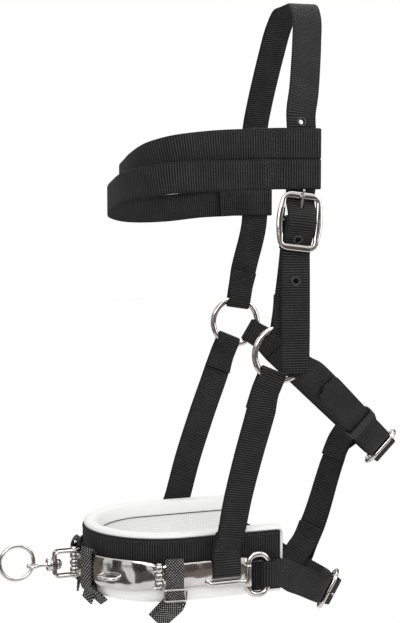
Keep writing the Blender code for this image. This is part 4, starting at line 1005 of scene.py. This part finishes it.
# Nose webbing
# A band of webbing sewn to the pad's outer face along both of its edges. A short length of it is
# sewn on below each rear end, where the plates' D's lie.
SIDES = (("near", -1), ("far", 1))
BAND_OFFSET = 1.25 * MM
BAND_RISE = 17 * MM
BAND_REAR = 23 * MM
BAND_HALF_WIDTH = 12.5 * MM
BAND_HALF_DEPTH = 0.8 * MM
BAND_CORNER = 0.5 * MM
BAND_SEAM = 10.2 * MM
SEAM_STEP = 9 * MM
TAB_AHEAD = -8 * MM
TAB_OFFSET = 2.3 * MM
TAB_RISE = -8.3 * MM


def band_section(place, outward, offset, rise):
    return place + outward * offset + AXIS_Z * rise, AXIS_Z * BAND_HALF_WIDTH, outward * BAND_HALF_DEPTH


band_route = [band_section(place, out, BAND_OFFSET, BAND_RISE) for place, out in nose_line(BAND_REAR)]
band, _ = sewn_strap("nose_webbing", corner=BAND_CORNER, route=band_route)
for side_name, side in SIDES:
    tab_places = [nose_side(side, rear) for rear in np.linspace(TAB_AHEAD, BAND_REAR, 8)]
    tab_route = [band_section(place, FARWARD * side, TAB_OFFSET, TAB_RISE) for place in tab_places]
    tab = Strap("nose_webbing", route=tab_route)
    strap_mesh(tab, webbing.material, "headstall", name=f"{side_name}_nose_tab_woven")
outer_face = 1 if Vector(band.up[0]).dot(-FARWARD) > 0 else -1
band_rows = []
for half in (-BAND_SEAM, BAND_SEAM):
    for start in np.arange(3 * MM, band.length[-1] - 12 * MM, SEAM_STEP):
        band_rows.append((band, outer_face, (start, half), (start + SEAM_STEP, half)))
stitches("nose_webbing_edge_stitching", band_rows, "headstall")


# Nose plates
# Four curved plates of cast metal with rounded edges, plated bright, joined by upright hinge pins.
# Each cheek plate has a slot with a thick lower rim for the cheek strap, and a D at its rear end.
PLATE_THICKNESS = 2.4 * MM
PLATE_CROWN = 0.9 * MM
PLATE_STAND_OFF = 6.2 * MM
PLATE_PEAK = 3.4 * MM
FRONT_PLATE_HEIGHT = 25 * MM
CHEEK_PLATE_HEIGHT = 20 * MM
SIDE_HINGE_DEG = 70
KNUCKLE_SPAN = 7.2 * MM
KNUCKLE_STAND_OFF = 2.4 * MM
SIDE_KNUCKLE = 6.6 * MM
CENTRE_KNUCKLE = 5.8 * MM
KNUCKLE_TAB = 6 * MM
PLATE_END_GAP = 3.7 * MM
RUNNING_GAP = 0.3 * MM
SLOT_AHEAD = 28 * MM
SLOT_LENGTH = 27 * MM
SLOT_HEIGHT = 5 * MM
SLOT_TOP_BELOW = 2.5 * MM
SLOT_RIM = 5 * MM
RIM_PROUD = 1.2 * MM
D_WIDTH = 22 * MM
D_HEIGHT = 39 * MM
D_WIRE = 5 * MM
D_CORNER = 7 * MM
D_BAR = 5.9 * MM
D_BAR_REACH = 10 * MM
D_OFFSET = 5 * MM
D_OUTSET = 2.5 * MM


PLATE_SIDES = 44
# Share of a knuckle's height, and of its width there: it is cast as a short barrel
barrel_half = ((0, 0.55), (0.04, 0.7), (0.13, 0.86), (0.28, 0.96))
barrel_shares = (*barrel_half, (0.5, 1), (0.72, 0.96), (0.87, 0.86), (0.96, 0.7), (1, 0.55))


def plate_offset(degrees):
    """The front plates stand further from the pad towards the middle hinge."""
    return PLATE_STAND_OFF + PLATE_PEAK * (1 - min(1, abs(degrees) / SIDE_HINGE_DEG)) ** 2


def hinge_axis(degrees):
    return nose_front(degrees, plate_offset(degrees) + KNUCKLE_STAND_OFF)


def cast_sheet(stations):
    """A plate with full rounded edges. A station is a point, the outward direction there and a height."""
    points = []
    for place, outward, height in stations:
        for k in range(PLATE_SIDES):
            turn = math.tau * k / PLATE_SIDES
            c, s = math.cos(turn), math.sin(turn)
            thick = squarer(c, 0.45) * PLATE_THICKNESS / 2 + (PLATE_CROWN * c**2 if c > 0 else 0)
            points.append(place + outward * thick + AXIS_Z * squarer(s, 0.8) * height / 2)
    return Casting().add(points, sweep_faces(len(stations), PLATE_SIDES))


def knuckles(casting, degrees, side, height, places):
    """Barrels round the pin at the given places in the stack, each with a tab that reaches into its plate."""
    axis = hinge_axis(degrees)
    out = nose_outward(degrees)
    away = AXIS_Z.cross(out) * -side
    radius = KNUCKLE_SPAN / 2
    half_tab = PLATE_THICKNESS * 0.4
    first_deg = math.degrees(math.asin((half_tab - KNUCKLE_STAND_OFF) / radius))
    turns = np.radians(np.linspace(first_deg, 270, 26))
    outline = [(radius * math.cos(turn), radius * math.sin(turn)) for turn in turns]
    corners = ((0, -half_tab), (KNUCKLE_TAB, -half_tab), (KNUCKLE_TAB, half_tab))
    outline += [(u, v - KNUCKLE_STAND_OFF) for u, v in corners]
    for place in places:
        low = (height + RUNNING_GAP) * place - height / 2
        points = []
        for way, share in barrel_shares:
            middle = axis + AXIS_Z * (low + height * way)
            points += [middle + (away * u + out * v) * share for u, v in outline]
        casting.add(points, sweep_faces(len(barrel_shares), len(outline)))


def end_gap_deg(local_radius):
    return math.degrees(PLATE_END_GAP / (local_radius + PLATE_STAND_OFF))


front_heights = ((0, 0.7), (0.07, 0.82), (0.17, 0.94), (0.3, 1), (0.75, 1), (0.88, 0.95), (1, 0.82))
first = end_gap_deg(PAD_HALF_WIDTH + PLATE_PEAK)
last = SIDE_HINGE_DEG - end_gap_deg(PAD_FRONT)
for (side_name, side), middle_places in zip(SIDES, ((-1, 1), (0,)), strict=True):
    stations = []
    for way in np.linspace(0, 1, 49):
        degrees = side * (first + (last - first) * way)
        end_share = math.sqrt(min(1, (min(way, 1 - way) + 0.004) / 0.02))
        share = np.interp(way, *zip(*front_heights, strict=True)) * (0.9 + 0.1 * end_share)
        place = nose_front(degrees, plate_offset(degrees))
        stations.append((place, nose_outward(degrees), FRONT_PLATE_HEIGHT * share))
    plate = cast_sheet(stations)
    knuckles(plate, 0, side, CENTRE_KNUCKLE, middle_places)
    knuckles(plate, side * SIDE_HINGE_DEG, -side, SIDE_KNUCKLE, (-1, 1))
    plate.made(f"{side_name}_front_plate", "cast", "headstall", 40)

D_AHEAD = -(D_WIDTH - D_WIRE) / 2
FLARE_LENGTH = 12 * MM
FLARE_HEIGHT = 9 * MM
RIM_RISE = -SLOT_TOP_BELOW - SLOT_HEIGHT - SLOT_RIM / 2
RIM_AHEAD = -SLOT_AHEAD - SLOT_LENGTH / 2
# The rim bends down into the D at its rear end, and curls up round the slot at its front end
rim_bend = ((0.5, -5.5), (-0.6, -3.4), (-2.2, -1.5), (-4.5, -0.4), (-8, 0))
rim_curl = ((-1.5, 0.5), (-2.7, 1.6), (-3.4, 3.1), (-3.6, 4.8))
rim_line = [(D_AHEAD + u * MM, RIM_RISE + v * MM) for u, v in rim_bend]
rim_line += [(rear, RIM_RISE) for rear in np.linspace(D_AHEAD - 10 * MM, RIM_AHEAD, 12)]
rim_line += [(RIM_AHEAD + u * MM, RIM_RISE + v * MM) for u, v in rim_curl]
slot_outline = bowed_outline(SLOT_LENGTH / 2, SLOT_HEIGHT / 2, SLOT_HEIGHT * 0.49)
d_outline = bowed_outline(-D_AHEAD, (D_HEIGHT - D_WIRE) / 2, D_CORNER)
first = SIDE_HINGE_DEG + end_gap_deg(PAD_FRONT)
for side_name, side in SIDES:
    stations = []
    for way in np.linspace(0, 1, 20)[:-1]:
        degrees = side * (first + (90 - first) * way)
        height = CHEEK_PLATE_HEIGHT * np.interp(way, (0, 0.2, 0.45), (0.86, 0.95, 1))
        stations.append((nose_front(degrees, PLATE_STAND_OFF), nose_outward(degrees), height))
    for rear in np.linspace(-PAD_STRAIGHT, D_AHEAD, 46):
        flare = max(0, 1 - (D_AHEAD - rear) / FLARE_LENGTH) ** 2
        place = nose_side(side, rear, PLATE_STAND_OFF, side * D_OFFSET * flare)
        stations.append((place, FARWARD * side, CHEEK_PLATE_HEIGHT + FLARE_HEIGHT * flare))
    blank = cast_sheet(stations).made(f"{side_name}_cheek_plate", "cast", None, 40)
    middle = nose_side(side, -SLOT_AHEAD, PLATE_STAND_OFF, -SLOT_TOP_BELOW - SLOT_HEIGHT / 2)
    slot_points = []
    for depth in (-D_WIRE, D_WIRE):
        slot_points += [middle + REARWARD * u + AXIS_Z * v + FARWARD * depth for u, v in slot_outline]
    cut(blank, Casting().add(slot_points, sweep_faces(2, len(slot_outline))))
    middle = nose_side(side, 0, PLATE_STAND_OFF + D_OUTSET, side * D_OFFSET)
    fittings = Casting().wire([middle + REARWARD * u + AXIS_Z * v for u, v in d_outline], FARWARD, D_WIRE)
    rim_path = [nose_side(side, rear, PLATE_STAND_OFF + RIM_PROUD, rise) for rear, rise in rim_line]
    fittings.wire(rim_path, FARWARD, SLOT_RIM, closed=False)
    fittings.rod(*(middle + REARWARD * D_AHEAD + AXIS_Z * way * D_BAR_REACH for way in (-1, 1)), D_BAR)
    knuckles(fittings, side * SIDE_HINGE_DEG, side, SIDE_KNUCKLE, (0,))
    fittings.made(f"{side_name}_cheek_plate", "fittings", None, 40, ())


# Hinge pins
# Upright steel pins with a low dome at each end, peened over the knuckles.
CENTRE_STACK = CENTRE_KNUCKLE * 1.5 + RUNNING_GAP
ARM_FROM = CENTRE_STACK + RUNNING_GAP
BRACKET_THICKNESS = 2.6 * MM
PIN_RADIUS = 1.3 * MM
SIDE_STACK = SIDE_KNUCKLE * 1.5 + RUNNING_GAP
# Radius and rise of a pin's domed end, in millimetres
dome = ((2.5, 0), (2.45, 0.5), (2.1, 0.85), (1.5, 1.08), (0.7, 1.2))
pin_stacks = (
    ("centre_hinge_pin", 0, ARM_FROM + BRACKET_THICKNESS),
    ("near_hinge_pin", -SIDE_HINGE_DEG, SIDE_STACK),
    ("far_hinge_pin", SIDE_HINGE_DEG, SIDE_STACK),
)
for pin_name, degrees, half_stack in pin_stacks:
    foot = half_stack + RUNNING_GAP
    profile = [(PIN_RADIUS, foot), *((radius * MM, foot + rise * MM) for radius, rise in dome)]
    profile = [(radius, -rise) for radius, rise in reversed(profile)] + profile
    Casting().lathe(profile, hinge_axis(degrees), AXIS_Z).made(pin_name, "polished", "headstall")


# Swivel and lead ring
# A bent bracket swings on the middle pin. A stem with a domed head turns in it, and carries the
# ring for the lunge line in its eye.
PIN_AXIS = hinge_axis(0)
FORWARD = -REARWARD
BRACKET_LENGTH = 17 * MM
BRACKET_HALF_WIDTH = 4.5 * MM
BRACKET_TIP = 1.5 * MM
BEND = 3.2 * MM
arm = ARM_FROM + BRACKET_THICKNESS / 2
# The upper arm from its rounded end to the bend, then the same mirrored
arm_ways = (0, 0.2, 0.6, 1.2, 2, 3, 4.5, 7, 9, 11, 13)
bracket_path = [(way * MM - BRACKET_HALF_WIDTH, arm) for way in arm_ways]
for turn in np.linspace(0, math.pi / 2, 9):
    bracket_path.append((BRACKET_LENGTH - BEND * (1 - math.sin(turn)), arm - BEND * (1 - math.cos(turn))))
bracket_path.append((BRACKET_LENGTH, arm / 3))
bracket_path += [(u, -v) for u, v in reversed(bracket_path)]
bracket_points = []
for i, (u, v) in enumerate(bracket_path):
    ahead = bracket_path[min(i + 1, len(bracket_path) - 1)]
    behind = bracket_path[max(i - 1, 0)]
    run = (FORWARD * (ahead[0] - behind[0]) + AXIS_Z * (ahead[1] - behind[1])).normalized()
    short = max(0, -u)
    half = max(BRACKET_TIP, math.sqrt(max(BRACKET_HALF_WIDTH**2 - short**2, 0)))
    for a, b in strap_section(half, BRACKET_THICKNESS / 2):
        bracket_points.append(PIN_AXIS + FORWARD * u + AXIS_Z * v + FARWARD * a + run.cross(FARWARD) * b)
bracket = Casting().add(bracket_points, sweep_faces(len(bracket_path), SECTION_SIDES))
bracket.made("swivel_bracket", "bent", None, 60)

HEAD_RADIUS = 5 * MM
COLLAR_LENGTH = 5.2 * MM
STEM_LENGTH = 8 * MM
EYE_RADIUS = 4 * MM
EYE_WIRE = 2.8 * MM
head_face = BRACKET_LENGTH - BRACKET_THICKNESS / 2 - RUNNING_GAP
collar_face = BRACKET_LENGTH + BRACKET_THICKNESS / 2 + RUNNING_GAP
collar_end = collar_face + COLLAR_LENGTH
stem_end = collar_end + STEM_LENGTH
stem_profile = [(0.3 * MM, head_face - 4.6 * MM)]
for turn in np.radians((15, 35, 55, 75, 90)):
    stem_profile.append((HEAD_RADIUS * math.sin(turn), head_face - 0.6 * MM - 4 * MM * math.cos(turn)))
# Radius and distance past a face, in millimetres, from the head's flat through the collar to the eye
stem_steps = (
    (head_face, ((5, 0), (1.9, 0))),
    (collar_face, ((1.9, 0), (4.9, 0), (5.5, 0.6))),
    (collar_end, ((5.5, -0.9), (4.9, 0), (2.4, 0), (1.8, 1), (1.6, 2.5))),
    (stem_end, ((1.6, 0),)),
)
for face, steps in stem_steps:
    stem_profile += [(radius * MM, face + past * MM) for radius, past in steps]
eye = PIN_AXIS + FORWARD * (stem_end + EYE_RADIUS)
stem = Casting().lathe(stem_profile, PIN_AXIS, FORWARD)
stem.wire(round_path(eye, EYE_RADIUS, REARWARD, FARWARD, 36), AXIS_Z, EYE_WIRE)
stem.made("swivel_shank", "turned", None, 45)

LEAD_RADIUS = 14.4 * MM
LEAD_WIRE = 3.2 * MM
LEAD_RISE = math.radians(16)
lead_centre = eye + (FORWARD * math.cos(LEAD_RISE) + AXIS_Z * math.sin(LEAD_RISE)) * LEAD_RADIUS
lead = Casting().wire(round_path(lead_centre, LEAD_RADIUS, REARWARD, AXIS_Z, 64), FARWARD, LEAD_WIRE)
lead.made("lead_ring", "polished")


# Rein loops
# A loop of thick wire is welded to the front of each front plate, for reins or side reins.
REIN_LOOP_DEG = 37
REIN_LOOP_SPAN = 17 * MM
REIN_LOOP_REACH = 8.5 * MM
REIN_LOOP_DROP = 2.5 * MM
REIN_LOOP_WIRE = 3 * MM
loop_half = ((-1, -0.1), (-1, 0.2), (-0.98, 0.45), (-0.92, 0.66), (-0.8, 0.83), (-0.62, 0.95), (-0.4, 1.02))
loop_half = (*loop_half, (-0.2, 1.05))
loop_shape = (*loop_half, (0, 1.06), *((-way, reach) for way, reach in reversed(loop_half)))
for side_name, side in SIDES:
    degrees = side * REIN_LOOP_DEG
    face = plate_offset(degrees) + PLATE_THICKNESS / 2
    half_deg = math.degrees(REIN_LOOP_SPAN / 2 / (PAD_HALF_WIDTH + face))
    path = []
    for way, reach in loop_shape:
        path.append(nose_front(degrees + half_deg * way, face + REIN_LOOP_REACH * reach, -REIN_LOOP_DROP))
    loop = Casting().wire(path, AXIS_Z, REIN_LOOP_WIRE, closed=False, sides=16)
    loop.made(f"{side_name}_rein_loop", "bent", "headstall")


# Cheek straps
# A strap on each side from the cheek ring down through its plate's slot.
for side_name, side in SIDES:
    ring_place = (-0.05, side * 0.094, -0.33)
    plate_place = (-0.088, side * 0.07, -0.462)
    sewn_strap(f"{side_name}_cheek_strap", ("headstall", f"{side_name}_cheek_plate", ring_place, plate_place))


# Throat, chin and jaw straps
# Two straps meet in the throat buckle and two in the chin buckle. A jaw strap is looped round
# the far throat strap and the chin straps and keeps them together.
for node in ("near_throat_strap", "far_throat_strap", "jaw_strap"):
    sewn_strap(node)
# Where each chin strap starts to bend towards its plate, and where it lies wholly on it
chin_bends = {
    "near": ((0.01, -0.039, -0.502), (-0.035, -0.07, -0.478)),
    "far": ((0.004, 0.034, -0.5), (-0.047, 0.073, -0.468)),
}
for side_name, bend in chin_bends.items():
    sewn_strap(f"{side_name}_chin_strap", ("headstall", f"{side_name}_cheek_plate", *bend))


# Throat keeper
# A narrow loop of webbing round the two layers of the throat strap, which holds down the tip.
KEEPER_SHINE = (0.05, 0.05, 0.052, 1)
sockets = {"Roughness": 0.8, "Specular_IOR_Level": 0.25}
keeper_cloth = grained("black_keeper_webbing", 0.8, WEBBING_BLACK, KEEPER_SHINE, relief=(0.4, 0.8), **sockets)
keeper = solid_shape("throat_keeper")
keeper.verts.index_update()
points = [v.co.copy() for v in keeper.verts]
faces = [tuple(v.index for v in f.verts) for f in keeper.faces]
keeper.free()
new_piece("throat_keeper_woven", points, faces, keeper_cloth, "headstall", "webbing", ("throat_keeper",))


# Tie tapes and slides
# Braided tapes tied round the plates keep these on the pad. Both tails hang below. On the side
# tapes a slide of thin wire holds the front tail.
BRAID_PITCH = 2.4
BRAID_BLACK = (0.003, 0.003, 0.0033, 1)
BRAID_SHINE = (0.028, 0.028, 0.029, 1)
FLECK = (0.45, 0.45, 0.44, 1)


def tape_finish(name, pitch):
    """Coarse braid whose strands cross at a slant, with pale flecks."""
    braid = Finish(name, Roughness=0.8, Specular_IOR_Level=0.15, Sheen_Weight=0.02)
    along, across = braid.walked("strap")
    one = (along + across).ridges(pitch)
    other = (along - across).ridges(pitch)
    knot = one.math("MINIMUM", other)
    height = one.math("MAXIMUM", other) * 0.5 + knot * 0.5
    patch = braid.noise(braid.place(), 2.6)
    grain = braid.noise(braid.place(), 0.5, 1)
    # The strands' crests are painted lighter: a painted highlight, mixed with a random grain
    base = braid.mix(height.math("POWER", 3) * 0.7 + grain * 0.3, BRAID_BLACK, BRAID_SHINE)
    fleck = knot.above(0.74, 0.12) * (patch * 1.5)
    braid.feed("Base Color", braid.mix(fleck.math("MINIMUM", 1), base, FLECK))
    braid.feed("Normal", braid.bump(height + grain * 0.3, 0.8))
    return braid.material


side_braid = tape_finish("braided_tape", BRAID_PITCH)
front_braid = tape_finish("braided_front_tape", BRAID_PITCH * 1.3)
TAPE_STEP = 1.5 * MM
SIDE_TAIL_FROM = -496 * MM
NEAR_SIDE_LEAN = (0.75, 1.5)
FRONT_TAIL_FROM = -488 * MM
FRONT_LEAN = (-0.9, 0.1)
FRONT_SPREAD = 1.35
SLIDE_DEG = 80
SLIDE_WIRE = 1.6 * MM
slide_outline = bowed_outline(9.1 * MM, 4.7 * MM, SLIDE_WIRE)
for side_name, side in SIDES:
    plate_body = f"{side_name}_cheek_plate"
    front_tape, side_tape = (Strap(f"{side_name}_{kind}_tie_tape", TAPE_STEP) for kind in ("front", "side"))
    front_tape.widths = front_tape.widths * FRONT_SPREAD
    front_tape.lean(FRONT_TAIL_FROM, *FRONT_LEAN)
    strap_mesh(front_tape, front_braid, "headstall", "braided_tape")
    if side < 0:
        side_tape.lean(SIDE_TAIL_FROM, *NEAR_SIDE_LEAN)
    strap_mesh(side_tape, side_braid, plate_body, "braided_tape")
    low, high = (Vector(c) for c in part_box(f"{side_name}_tape_slide"))
    ends = [nose_front(side * (SLIDE_DEG + turn), plate_offset(SLIDE_DEG)) for turn in (-1, 1)]
    way = (ends[1] - ends[0]).normalized()
    slide_path = [(low + high) / 2 + way * u + AXIS_Z * v for u, v in slide_outline]
    slide = Casting().wire(slide_path, AXIS_Z.cross(way), SLIDE_WIRE, sides=12)
    slide.made(f"{side_name}_tape_slide", "bent", plate_body)
